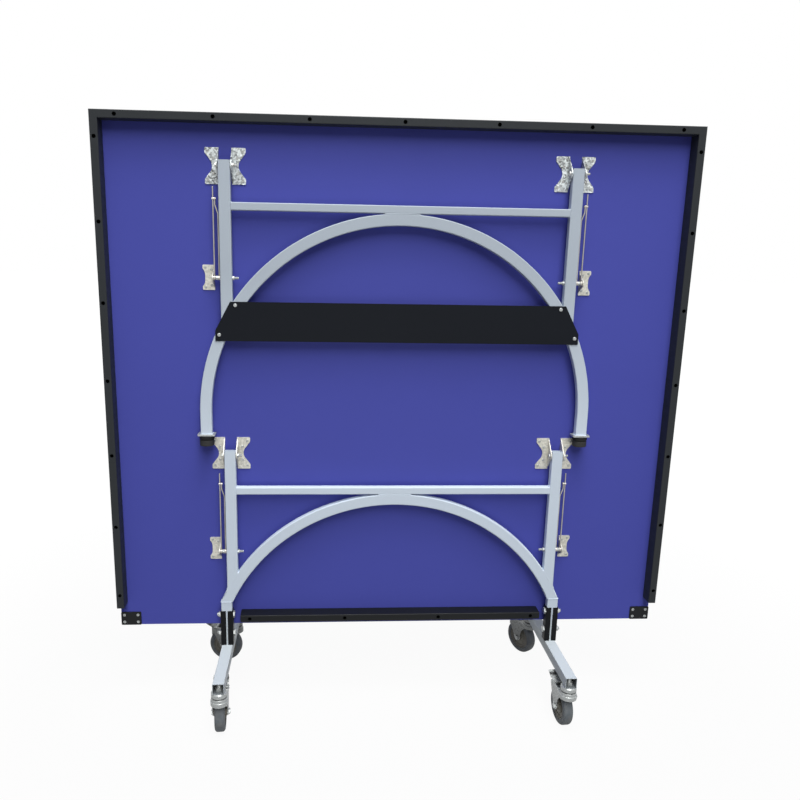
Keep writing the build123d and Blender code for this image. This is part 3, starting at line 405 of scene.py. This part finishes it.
def place_group(tree, group, **values):
    """A group in a material, with its inputs set by name."""
    node = tree.nodes.new("ShaderNodeGroup")
    node.node_tree = group
    for label, value in values.items():
        feed(tree, value, node.inputs[label.replace("_", " ")])
    return node.outputs


def add_bump(tree, skin, height, strength, depth_mm):
    """Height of a group as a bump on the shader's normal."""
    bump = tree.nodes.new("ShaderNodeBump")
    bump.inputs["Strength"].default_value = strength
    bump.inputs["Distance"].default_value = depth_mm / 1000
    tree.links.new(height, bump.inputs["Height"])
    tree.links.new(bump.outputs[0], skin.inputs["Normal"])


def shade_by(tree, skin, colour, *factors):
    """Base colour = colour times every factor."""
    for factor in factors:
        colour = scaled_colour(tree, colour, factor)
    tree.links.new(colour, skin.inputs["Base Color"])


def coated(slot, colour, roughness, mottle, peel, rub, strength, depth_mm, metallic=0.0, specular=0.5):
    """Painted or moulded finish: the coat group straight into the shader."""
    tree, skin = new_finish(slot, metallic, specular)
    sockets = place_group(
        tree, coat, Colour=(*colour, 1), Peel_Scale=peel, Mottle=mottle, Roughness=roughness, Rub=rub
    )
    tree.links.new(sockets["Colour"], skin.inputs["Base Color"])
    tree.links.new(sockets["Roughness"], skin.inputs["Roughness"])
    add_bump(tree, skin, sockets["Height"], strength, depth_mm)
    return tree, skin, sockets


# %% Black finishes
RAIL_PAINTED_SHADE = 0.3
COLLAR_TALL = 0.0115
COLLAR_PAINTED_SHADOW = 0.25

# The net rail and the net clamp plates, below the rims, are darkened: painted shade near the floor
tree, skin, sockets = coated(
    "rim_black", (0.022, 0.025, 0.028), roughness=0.46, mottle=0.25, peel=1100.0, rub=0.18,
    strength=0.25, depth_mm=0.25, specular=0.18,
)
rail_top = float(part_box("net_rail")[1][2])
rim_foot = float(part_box("side_rim_left")[0][2])
# Darker from the rim foot down: painted shade on the rail and the plates
height_step = spread(tree, object_axes(tree)["Z"], rail_top, rim_foot, RAIL_PAINTED_SHADE, 1.0)
shade_by(tree, skin, sockets["Colour"], height_step)

# The collar of a foot, above its pad, is darkened: painted shadow of the foot flange above it
tree, skin, sockets = coated(
    "foot_rubber", (0.03, 0.03, 0.03), roughness=0.7, mottle=0.3, peel=500.0, rub=0.15,
    strength=0.4, depth_mm=0.4, specular=0.2,
)
collar_foot = float(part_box("foot_pad_left")[1][2]) - COLLAR_TALL
flange_shadow = reckon(tree, "GREATER_THAN", object_axes(tree)["Z"], collar_foot)
shade_by(tree, skin, sockets["Colour"], spread(tree, flange_shadow, 0.0, 1.0, 1.0, COLLAR_PAINTED_SHADOW))

coated(
    "sign_black", (0.0075, 0.009, 0.0125), roughness=0.5, mottle=0.2, peel=1400.0, rub=0.14,
    strength=0.12, depth_mm=0.2, specular=0.08,
)
coated(
    "screw_black", (0.02, 0.02, 0.023), roughness=0.38, mottle=0.4, peel=900.0, rub=0.2,
    strength=0.1, depth_mm=0.2, metallic=0.6,
)
coated(
    "cheek_black", (0.006, 0.0065, 0.0075), roughness=0.5, mottle=0.3, peel=700.0, rub=0.2,
    strength=0.3, depth_mm=0.3, specular=0.1,
)
print("black", sorted(finishes))

# %% Silver legs
# Each of these is (low, high, value at low, value at high) over the height in metres
BASE_DUST = (0.2, 0.26, 0.6, 0.0)
LEG_PAINTED_LIGHT = (0.22, 0.27, 1.0, 1.19)
UPPER_PAINTED_SHADE = (0.8, 1.2, 1.0, 0.7)
DUST_COLOUR = (0.49, 0.53, 0.53, 1)
INSIDE_PAINTED_SHADE = 0.3
OUTER_SKIN = 0.001


def inside_tube(tree, axes, node):
    """1 below the outer skin of a tube along Y or of its mirror image, 0 outside."""
    low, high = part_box(node)
    inside = 1.0
    for k, axis in ((0, "X"), (2, "Z")):
        middle = float(low[k] + high[k]) / 2
        half = float(high[k] - low[k]) / 2
        offset = reckon(tree, "SUBTRACT", reckon(tree, "ABSOLUTE", axes[axis]), middle)
        within = reckon(tree, "LESS_THAN", reckon(tree, "ABSOLUTE", offset), half - OUTER_SKIN)
        inside = reckon(tree, "MULTIPLY", within, inside)
    return inside


tree, skin, sockets = coated(
    "frame_silver", (0.5, 0.565, 0.64), roughness=0.48, mottle=0.08, peel=1500.0, rub=0.16,
    strength=0.18, depth_mm=0.2, specular=0.15,
)
axes = object_axes(tree)
dusty = blend_colour(tree, spread(tree, axes["Z"], *BASE_DUST), sockets["Colour"], DUST_COLOUR)
# Painted light and shade over the height: lighter above the base tubes, darker again towards the top
painted_light = spread(tree, axes["Z"], *LEG_PAINTED_LIGHT)
painted_shade = spread(tree, axes["Z"], *UPPER_PAINTED_SHADE)
# Inside the base tubes the colour is darkened: painted shade in the hollow of the tube
inside_shade = spread(tree, inside_tube(tree, axes, "base_tube_right"), 0.0, 1.0, 1.0, INSIDE_PAINTED_SHADE)
shade_by(tree, skin, dusty, painted_light, painted_shade, inside_shade)
print("coated", sorted(finishes))

# %% [markdown]
# ## The board
# The underside is plain paint. The playing face has the white lines of the game: broad ones along the
# sides and the end, and a narrow one down the middle. They lie in the paint, so they are a mask in the
# material: a few comparisons on the object's own coordinates, which keeps them sharp from any distance.

# %% Board paint with its lines
LINE_WIDE = 0.02
MIDDLE_WIDE = 0.003
FACE_DEEP = 0.0012
FACE_MATT = 0.18
LINE_WHITE = (0.82, 0.83, 0.84, 1)

board_low, board_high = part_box("table_top")
tree, skin, sockets = coated(
    "board_paint", (0.0645, 0.075, 0.37), roughness=0.55, mottle=0.07, peel=1300.0, rub=0.12,
    strength=0.2, depth_mm=0.2, specular=0.15,
)
axes = object_axes(tree)
across = reckon(tree, "ABSOLUTE", axes["X"])
side_line = reckon(tree, "GREATER_THAN", across, float(board_high[0]) - LINE_WIDE)
middle_line = reckon(tree, "LESS_THAN", across, MIDDLE_WIDE / 2)
end_line = reckon(tree, "GREATER_THAN", axes["Z"], float(board_high[2]) - LINE_WIDE)
lines = reckon(tree, "MAXIMUM", reckon(tree, "MAXIMUM", side_line, middle_line), end_line)
playing = reckon(tree, "GREATER_THAN", axes["Y"], float(board_high[1]) - FACE_DEEP)
lines = reckon(tree, "MULTIPLY", lines, playing)
brush = spread(tree, noise(tree, object_place(tree), 700.0), 0.3, 0.7, 0.9, 1.0)
lines = reckon(tree, "MULTIPLY", lines, brush)
tree.links.new(blend_colour(tree, lines, sockets["Colour"], LINE_WHITE), skin.inputs["Base Color"])
matt_face = reckon(tree, "MULTIPLY_ADD", playing, FACE_MATT, sockets["Roughness"], clamp=True)
tree.links.new(matt_face, skin.inputs["Roughness"])
print("board", [round(float(high - low), 3) for low, high in zip(board_low, board_high)])

# %% [markdown]
# ## Zinc, wire, rubber and wheels
# Brackets, forks and pedals are stamped from zinc-plated sheet, so the crystals show as pale and dark
# flakes. The stays are drawn wire. Wheels live on the floor, so their rubber and hubs carry dust that
# fades upwards.


# %% Zinc plate
BATCH_SPLIT = (1.29, 1.31)


def plated(slot, colours, metallic, crystal, contrasts, roughness, strength):
    """Zinc skin: the spangle group into the shader. The sheet above the split is another batch."""
    tree, skin = new_finish(slot, metallic)
    height_step = spread(tree, object_axes(tree)["Z"], *BATCH_SPLIT)
    colour = blend_colour(tree, height_step, (*colours[0], 1), (*colours[1], 1))
    contrast = spread(tree, height_step, 0.0, 1.0, *contrasts)
    sockets = place_group(
        tree, spangle, Colour=colour, Crystal_Scale=crystal, Contrast=contrast, Roughness=roughness
    )
    tree.links.new(sockets["Colour"], skin.inputs["Base Color"])
    tree.links.new(sockets["Roughness"], skin.inputs["Roughness"])
    add_bump(tree, skin, sockets["Height"], strength, 0.25)
    return tree, skin, sockets


plated(
    "galvanised", ((0.56, 0.55, 0.49), (0.48, 0.51, 0.51)), metallic=0.4, crystal=220.0,
    contrasts=(0.35, 1.4), roughness=0.36, strength=0.1,
)
tree, skin, sockets = plated(
    "zinc", ((0.4, 0.42, 0.415), (0.48, 0.48, 0.46)), metallic=0.4, crystal=260.0,
    contrasts=(0.16, 0.2), roughness=0.22, strength=0.05,
)

# Casters: a dark line of grease and painted shade between the ball races, a painted glint at the axle ends,
# painted shade on the fork's cheeks. The rear casters, in the board's shadow, are painted darker all over.
# Each is (low, high, value at low, value at high) in metres.
GREASE_AND_SHADE = (0.001, 0.003, 0.12, 1.0)
AXLE_GLINT = (0.005, 0.007, 2.6, 1.0)
FORK_CHEEK_SHADE = (-0.065, -0.012, 0.6, 1.0)
REAR_PAINTED_SHADE = (0.0, 0.1, 1.0, 0.45)
race_gap = float(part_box("caster_fork_front_left")[1][2])
axle_height = joints["roll_front_left"]["pos_m"][2]
axes = object_axes(tree)
above_race = reckon(tree, "SUBTRACT", axes["Z"], race_gap)
above_axle = reckon(tree, "SUBTRACT", axes["Z"], axle_height)
grease_and_shade = spread(tree, reckon(tree, "ABSOLUTE", above_race), *GREASE_AND_SHADE)
axle_glint = spread(tree, reckon(tree, "ABSOLUTE", above_axle), *AXLE_GLINT)
fork_cheek_shade = spread(tree, above_race, *FORK_CHEEK_SHADE)
shade_by(tree, skin, sockets["Colour"], grease_and_shade, axle_glint, fork_cheek_shade, spread(tree, axes["Y"], *REAR_PAINTED_SHADE))
print("zinc", round(race_gap, 4), axle_height)

# %% Wire, rubber and hubs
tree, skin = new_finish("wire_steel", metallic=0.9)
sockets = place_group(tree, drawn, Colour=(0.42, 0.4, 0.37, 1), Roughness=0.26)
tree.links.new(sockets["Colour"], skin.inputs["Base Color"])
tree.links.new(sockets["Roughness"], skin.inputs["Roughness"])
add_bump(tree, skin, sockets["Height"], 0.15, 0.1)


def dusty_finish(slot, colour, roughness, peel, reach, amount, strength, depth_mm):
    """Moulded finish with floor dust on top of its own coat."""
    tree, skin, coat_out = coated(
        slot, colour, roughness, mottle=0.25, peel=peel, rub=0.15,
        strength=strength, depth_mm=depth_mm, specular=0.35,
    )
    dust_out = place_group(
        tree, dust, Colour=coat_out["Colour"], Roughness=coat_out["Roughness"], Reach=reach, Amount=amount
    )
    tree.links.new(dust_out["Colour"], skin.inputs["Base Color"])
    tree.links.new(dust_out["Roughness"], skin.inputs["Roughness"])


dusty_finish(
    "tyre_grey", (0.108, 0.124, 0.138), roughness=0.62, peel=420.0, reach=0.1, amount=0.45,
    strength=0.35, depth_mm=0.4,
)
dusty_finish(
    "hub_grey", (0.165, 0.158, 0.132), roughness=0.5, peel=600.0, reach=0.14, amount=0.35,
    strength=0.25, depth_mm=0.3,
)

for name, node in nodes.items():
    node.data.materials.clear()
    node.data.materials.append(finishes[slot_of[name]])
print("finishes", sorted(finishes))

# %% [markdown]
# ## Surfaces from arrays
# Every new piece is a grid of points: two parameters go in, a whole array of places comes out, and the
# faces join neighbours on the grid. A ring closes by wrapping the grid, a bar closes with a fan of
# triangles at each end. The volume's sign tells which way the faces look, so a shell can always be turned
# to face outwards.

# %% Helpers for surfaces
MM = 0.001
SHARP_EDGE = math.radians(35.0)


def grid_quads(rows, columns, wrap_rows, wrap_columns):
    """Quads that join the point (i, j) of a grid to (i+1, j), (i+1, j+1) and (i, j+1)."""
    i = np.arange(rows if wrap_rows else rows - 1)
    j = np.arange(columns if wrap_columns else columns - 1)
    i, j = np.meshgrid(i, j, indexing="ij")
    below = (i + 1) % rows
    beside = (j + 1) % columns
    corners = [i * columns + j, below * columns + j, below * columns + beside, i * columns + beside]
    return np.stack(corners, axis=-1).reshape(-1, 4)


def facing_out(points, faces):
    """Turns every face round if the shell's volume, the sum of its cones from the origin, is negative."""
    centred = points - points.mean(axis=0)
    total = 0.0
    for group in faces:
        first = centred[group[:, 0]]
        for k in range(1, group.shape[1] - 1):
            second, third = centred[group[:, k]], centred[group[:, k + 1]]
            total += np.einsum("ij,ij->", first, np.cross(second, third))
    return faces if total > 0 else [group[:, ::-1] for group in faces]


def ring_shell(points):
    """Closed shell from a grid that wraps both ways."""
    rows, columns = points.shape[:2]
    flat = points.reshape(-1, 3)
    return flat, facing_out(flat, [grid_quads(rows, columns, True, True)])


def bar_shell(points):
    """Closed shell from a stack of rings, with a fan of triangles from the middle of each end ring."""
    rows, columns = points.shape[:2]
    ends = np.stack([points[0].mean(axis=0), points[-1].mean(axis=0)])
    flat = np.vstack([points.reshape(-1, 3), ends])
    j = np.arange(columns)
    beside = (j + 1) % columns
    last = (rows - 1) * columns
    first_fan = np.stack([np.full(columns, rows * columns), j, beside], axis=-1)
    last_fan = np.stack([np.full(columns, rows * columns + 1), last + beside, last + j], axis=-1)
    return flat, facing_out(flat, [grid_quads(rows, columns, False, True), first_fan, last_fan])


def add_piece(name, shells, body, slot, replaced=()):
    """Joins shells into one mesh piece in the CAD frame, and makes it ride on a body."""
    points = []
    faces = []
    count = 0
    for flat, groups in shells:
        points.append(flat)
        for group in groups:
            faces += (group + count).tolist()
        count += len(flat)
    mesh = bpy.data.meshes.new(name)
    mesh.from_pydata(np.vstack(points).tolist(), [], faces)
    mesh.polygons.foreach_set("use_smooth", np.ones(len(mesh.polygons), dtype=bool))
    mesh.set_sharp_from_angle(angle=SHARP_EDGE)
    mesh.materials.append(finishes[slot])
    piece = bpy.data.objects.new(name, mesh)
    bpy.context.scene.collection.objects.link(piece)
    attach(piece, body)
    if replaced:
        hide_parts(*replaced)


def square_axes(axis):
    """Two unit directions at right angles to an axis."""
    axis = np.asarray(axis, dtype=float)
    other = np.array([0.0, 0.0, 1.0]) if abs(axis[2]) < 0.9 else np.array([1.0, 0.0, 0.0])
    first = np.cross(axis, other)
    first /= np.linalg.norm(first)
    return first, np.cross(axis, first)


def turned(centre, axis, along, radius, angles):
    """Surface of revolution: point = centre + along * axis + radius * (cos a * first + sin a * second)."""
    axis = np.asarray(axis, dtype=float)
    first, second = square_axes(axis)
    spin = np.cos(angles)[:, None] * first + np.sin(angles)[:, None] * second
    return np.asarray(centre) + along[..., None] * axis + radius[..., None] * spin[:, None, :]


# %% [markdown]
# ## Wheels
# The tyre is a moulded ring: a flat tread with round shoulders, a bead where it grips the hub and a shallow
# hollow in the side wall. The hub is a disc with ring steps on both sides, which catch the light as rings.
# Both are profiles turned about the axle.

# %% Tyres and hubs
CASTERS = ("front_left", "front_right", "rear_left", "rear_right")
WHEEL_R, HUB_R = 50.0, 36.0
TREAD_HALF, SHOULDER = 13.5, 7.5
BEAD_GAP, WALL_HOLLOW = 0.1, 1.3
AROUND = np.linspace(0, 2 * np.pi, 96, endpoint=False)

# Side wall = half width - hollow * sin^2 over the run from the bead to the shoulder, then a quarter circle
shoulder_r = WHEEL_R - SHOULDER
wall_r = np.linspace(HUB_R + BEAD_GAP, shoulder_r, 12, endpoint=False)
wall_run = (wall_r - wall_r[0]) / (shoulder_r - wall_r[0])
wall_out = TREAD_HALF - BEAD_GAP - WALL_HOLLOW * np.sin(np.pi * wall_run) ** 2
bend = np.linspace(0, np.pi / 2, 12)
bend_out = TREAD_HALF - SHOULDER + SHOULDER * np.cos(bend)
bend_r = shoulder_r + SHOULDER * np.sin(bend)
tyre_half = np.vstack([np.stack([wall_out, wall_r], axis=1), np.stack([bend_out, bend_r], axis=1)])
tyre_loop = np.vstack([tyre_half, tyre_half[::-1] * (-1, 1)]) * MM

# Ring steps of the hub as (radius, half width) from the bore outwards
hub_half = np.array(
    [
        (5.1, 17.6), (5.6, 18.0), (10.2, 18.0), (10.9, 17.4), (11.2, 12.0), (12.0, 11.2), (19.6, 10.9),
        (20.2, 10.5), (20.4, 8.6), (21.0, 8.2), (26.4, 8.0), (27.0, 8.4), (27.2, 10.2), (27.8, 10.6),
        (31.0, 10.8), (31.6, 9.2), (32.2, 9.2), (32.8, 11.5), (35.3, 11.5), (36.0, 10.8),
    ]
)
hub_loop = np.vstack([hub_half, hub_half[::-1] * (1, -1)])[:, ::-1] * MM

for caster in CASTERS:
    roll = joints[f"roll_{caster}"]
    for part, loop in (("tyre", tyre_loop), ("hub", hub_loop)):
        along, radius = [np.repeat(loop[None, :, k], len(AROUND), axis=0) for k in range(2)]
        shell = ring_shell(turned(roll["pos_m"], roll["axis"], along, radius, AROUND))
        node = f"caster_{part}_{caster}"
        add_piece(f"{part}_{caster}", [shell], f"wheel_{caster}", f"{part}_grey", [node])
print("wheels", len(CASTERS))

# %% [markdown]
# ## Bolt threads
# Where a bolt passes its nut, the thread shows. A thread is a cylinder whose radius rises and falls with
# the distance along the axis minus the turn about it: one pitch forward for each full turn. The crest
# stands a hair outside the plain CAD shank and hides it.


# %% Threads on bolt ends
TIP_OVER, SHANK_OVER = 0.15, 0.06
CREST, LEAD = 0.32, 0.8


def thread_shell(start, axis, length, radius, pitch):
    """Radius = shank + crest * triangle(along / pitch - turn), fading at the tip. Lengths in millimetres."""
    rows = max(8, int(round(length / pitch * 10)))
    along = np.linspace(0, length + TIP_OVER, rows)[None, :]
    angles = np.linspace(0, 2 * np.pi, 28, endpoint=False)[:, None]
    saw = (along / pitch - angles / (2 * np.pi)) % 1.0
    crest = CREST * pitch * (1 - np.abs(2 * saw - 1))
    lead = np.clip((length + TIP_OVER - along) / (LEAD * pitch), 0, 1)
    grown = radius + SHANK_OVER + crest * lead
    points = turned(start, axis, (along + 0 * angles) * MM, grown * MM, angles[:, 0])
    return bar_shell(points.transpose(1, 0, 2))


def box_mm(node):
    """Lowest and highest corner of a CAD node in millimetres."""
    return np.round(np.array(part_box(node), dtype=float) / MM, 3)


def leg_point(x, z):
    """Point in metres in the plane of the legs, from X and Z in millimetres."""
    return np.array([x, LEGS_Y, z]) * MM


# Threads as (radius, pitch), faces of nuts from the middle of the tube, and what stands past each nut
SMALL_THREAD, CHEEK_THREAD, STUD_THREAD = (3.0, 1.0), (4.0, 1.25), (6.0, 1.75)
HINGE_NUT_FACE, HINGE_OVER = 23.5, 7.0
STAY_NUT_FACE, STAY_OVER, STAY_DROP = 20.0, 11.0, 275.0
CHEEK_NUT_FACE, CHEEK_OVER, CHEEK_BOLTS_Z = 23.25, 4.0, (251.0, 195.0)
STUD_NUT_TOP, STUD_OVER = 143.0, 16.5
LEGS_Y = leg_y / MM
LEG_X = float(box_mm("wheel_leg_upright_right")[:, 0].mean())
STUB_X = joints["swivel_front_right"]["pos_m"][0] / MM
HINGE_Z = joints["board_fold"]["pos_m"][2] / MM
END_HINGE_Z = joints["end_leg_fold"]["pos_m"][2] / MM

hinge_threads = [
    thread_shell(leg_point(x + HINGE_NUT_FACE, z), (1, 0, 0), HINGE_OVER, *SMALL_THREAD)
    for x in (-LEG_X, LEG_X)
    for z in (HINGE_Z, END_HINGE_Z)
]
add_piece("hinge_bolt_threads", hinge_threads, "board", "zinc")
stay_x = LEG_X - STAY_NUT_FACE
for leg, body, z in (("wheel_leg", "trolley", HINGE_Z), ("end_leg", "end_leg", END_HINGE_Z)):
    stay_threads = [
        thread_shell(leg_point(way * stay_x, z - STAY_DROP), (-way, 0, 0), STAY_OVER, *SMALL_THREAD)
        for way in (-1, 1)
    ]
    add_piece(f"{leg}_stay_bolt_threads", stay_threads, body, "zinc")
cheek_threads = [
    thread_shell(leg_point(way * (STUB_X + CHEEK_NUT_FACE), z), (way, 0, 0), CHEEK_OVER, *CHEEK_THREAD)
    for way in (-1, 1)
    for z in CHEEK_BOLTS_Z
]
add_piece("cheek_bolt_threads", cheek_threads, "trolley", "zinc")
stud_threads = []
for caster in CASTERS:
    x, y, _ = joints[f"swivel_{caster}"]["pos_m"]
    stud_threads.append(thread_shell((x, y, STUD_NUT_TOP * MM), (0, 0, 1), STUD_OVER, *STUD_THREAD))
add_piece("stud_threads", stud_threads, "trolley", "zinc")
print("threads", len(hinge_threads), len(stay_threads) * 2, len(cheek_threads), len(stud_threads))

# %% [markdown]
# ## Weld beads
# The legs are welded up from tube: the crossbar between the uprights, the uprights on the back of the arch,
# the stubs and foot flanges on its ends. A weld is a row of small overlapping drops, so the bead is a round
# profile carried along the seam, and its radius swells once for every drop.


# %% Beads along the seams
BEAD_STEP = 0.6


def resample(path, step, closed):
    """Points along a polyline at even steps: each coordinate interpolated over the length run so far."""
    path = np.asarray(path, dtype=float)
    if closed:
        path = np.vstack([path, path[:1]])
    run = np.concatenate([[0.0], np.cumsum(np.linalg.norm(np.diff(path, axis=0), axis=1))])
    count = max(6, int(round(run[-1] / step)))
    at = np.linspace(0, run[-1], count, endpoint=not closed)
    return np.stack([np.interp(at, run, path[:, k]) for k in range(3)], axis=1), at


def bead_shell(path, normal, radius, closed=False, drop=2.4, wide=1.0):
    """Ring = place + radius * (cos a * normal + wide * sin a * side), swelling once for each drop."""
    places, run = resample(path, BEAD_STEP, closed)
    if closed:
        ahead = np.roll(places, -1, axis=0) - np.roll(places, 1, axis=0)
    else:
        ahead = np.gradient(places, axis=0)
    ahead /= np.linalg.norm(ahead, axis=1)[:, None]
    normal = np.asarray(normal, dtype=float)
    side = np.cross(ahead, normal)
    swell = radius * (0.9 + 0.12 * np.abs(np.sin(np.pi * run / drop)))
    if not closed:
        swell *= np.sqrt(np.clip(np.minimum(run, run[-1] - run) / radius, 0.05, 1))
    a = np.linspace(0, 2 * np.pi, 10, endpoint=False)
    ring = np.cos(a)[None, :, None] * normal + wide * np.sin(a)[None, :, None] * side[:, None, :]
    points = (places[:, None, :] + swell[:, None, None] * ring) * MM
    return ring_shell(points) if closed else bar_shell(points)


def box_seam(x, z, half_x, half_y, corner):
    """Level seam round a tube: a rectangle with quarter-circle corners."""
    angles = np.radians(np.concatenate([np.linspace(k * 90, k * 90 + 90, 6) for k in range(4)]))
    sign = np.repeat(np.array([(1, 1), (-1, 1), (-1, -1), (1, -1)]), 6, axis=0)
    px = x + sign[:, 0] * (half_x - corner) + corner * np.cos(angles)
    py = LEGS_Y + sign[:, 1] * (half_y - corner) + corner * np.sin(angles)
    return np.stack([px, py, np.full(len(px), z)], axis=1)


def depth_seam(x, z, half):
    """Straight seam along Y, across the depth of a tube."""
    return [(x, LEGS_Y - half, z), (x, LEGS_Y + half, z)]


# Corner beads cross the depth of the tube. Flat ones, ground down, run over the faces of upright and arch.
# Crest beads fill the wedge between the arch and the crossbar.
ARCH_OUTER = float(box_mm("end_leg_arch")[1][0])
CORNER_BEAD, CORNER_HALF = 2.0, 9.0
FLAT_BEAD, FLAT_HALF, FLAT_SINK, FLAT_PAST = 1.2, 9.0, 1.4, 2.0
FLAT_DROP, FLAT_WIDE = 60.0, 2.6
CREST_BEAD, CREST_HALF, CREST_REACH = 1.9, 8.4, 46.0


def arch_seam(x, behind, height):
    """Curved seam in a plane that faces Y, from arrays of X and Z."""
    return np.stack([x, np.full(len(x), LEGS_Y + behind), height], axis=1)


def leg_beads(leg):
    """Seams of one leg: crossbar to uprights, uprights to arch, arch to crossbar."""
    bar_low, bar_high = box_mm(f"{leg}_crossbar")
    post_in, post_out = box_mm(f"{leg}_upright_right")[:, 0]
    centre_z = bar_low[2] - ARCH_OUTER
    beads = []
    for way in (-1, 1):
        corners = [(post_in, bar_low[2]), (post_in, bar_high[2])]
        corners += [(x, centre_z + math.sqrt(ARCH_OUTER**2 - x**2)) for x in (post_in, post_out)]
        for x, z in corners:
            beads.append(bead_shell(depth_seam(way * x, z, CORNER_HALF), (1, 0, 0), CORNER_BEAD))
        x = way * np.linspace(post_in - FLAT_PAST, post_out + FLAT_PAST, 24)
        z = centre_z + np.sqrt((ARCH_OUTER - FLAT_SINK) ** 2 - x**2)
        for behind in (-FLAT_HALF, FLAT_HALF):
            seam = arch_seam(x, behind, z)
            beads.append(bead_shell(seam, (0, 1, 0), FLAT_BEAD, drop=FLAT_DROP, wide=FLAT_WIDE))
    x = np.linspace(-CREST_REACH, CREST_REACH, 40)
    z = centre_z + (ARCH_OUTER + np.sqrt(ARCH_OUTER**2 - x**2)) / 2
    for behind in (-CREST_HALF, CREST_HALF):
        beads.append(bead_shell(arch_seam(x, behind, z), (0, 1, 0), CREST_BEAD))
    return beads


# Seams right round the ends of each arch: leg, body, X, Z and the bead's radius
TUBE_HALF_X, TUBE_HALF_Y, TUBE_CORNER = 15.0, 10.0, 2.5
foot_x = ARCH_OUTER - TUBE_HALF_X
ROUND_SEAMS = (
    ("wheel_leg", "trolley", STUB_X, box_mm("leg_stubs")[1][2], 1.1),
    ("end_leg", "end_leg", foot_x, box_mm("foot_flanges")[1][2], 1.5),
)
for leg, body, x, z, radius in ROUND_SEAMS:
    beads = leg_beads(leg)
    for way in (-1, 1):
        seam = box_seam(way * x, z, TUBE_HALF_X, TUBE_HALF_Y, TUBE_CORNER)
        beads.append(bead_shell(seam, (0, 0, 1), radius, closed=True))
    add_piece(f"{leg}_welds", beads, body, "frame_silver")
    print(leg, "weld beads", len(beads))

# %% [markdown]
# ## Brake pedals
# A pedal that a shoe presses has ribs against slipping and a rolled edge, so the sheet cuts nobody. Both
# are bars across the tread with round ends.


# %% Ribs and rolled edges
def rounded_bar(middle, axis, half, radius):
    """Bar with round ends: radius * sqrt(1 - t^2) near each end, with t from 0 to 1 over one radius."""
    t = np.sin(np.linspace(0, np.pi / 2, 6))
    reach = np.concatenate([-half - radius * t[::-1], half + radius * t]) * MM
    thick = np.sqrt(np.clip(1 - t**2, 0.0025, 1)) * radius * MM
    swell = np.concatenate([thick[::-1], thick])
    angles = np.linspace(0, 2 * np.pi, 14, endpoint=False)
    along = np.repeat(reach[None, :], len(angles), axis=0)
    grown = np.repeat(swell[None, :], len(angles), axis=0)
    return bar_shell(turned(middle, axis, along, grown, angles).transpose(1, 0, 2))


# Bars as (distance from the pin, radius, half length): three ribs and the rolled edge, on a sloping tread
PEDAL_BARS = ((12.5, 1.0, 16.0), (16.5, 1.0, 16.0), (20.5, 1.0, 16.0), (25.6, 2.2, 17.4))
TREAD_UP, TREAD_SLOPE = 5.5, 15.0 / 28.0
RIB_R, ROLL_SINK = 1.0, 1.5
for caster in CASTERS:
    brake = joints[f"brake_{caster}"]
    pin, axle = np.array(brake["pos_m"]), np.array(brake["axis"])
    trail = np.array([-axle[1], axle[0], 0.0])
    bars = []
    for out, radius, half in PEDAL_BARS:
        top = TREAD_UP + TREAD_SLOPE * out - (ROLL_SINK if radius > RIB_R else 0.0)
        middle = pin + trail * out * MM + np.array([0, 0, top * MM])
        bars.append(rounded_bar(middle, axle, half, radius))
    add_piece(f"pedal_ribs_{caster}", bars, f"pedal_{caster}", "zinc")
print("pedals", len(CASTERS))
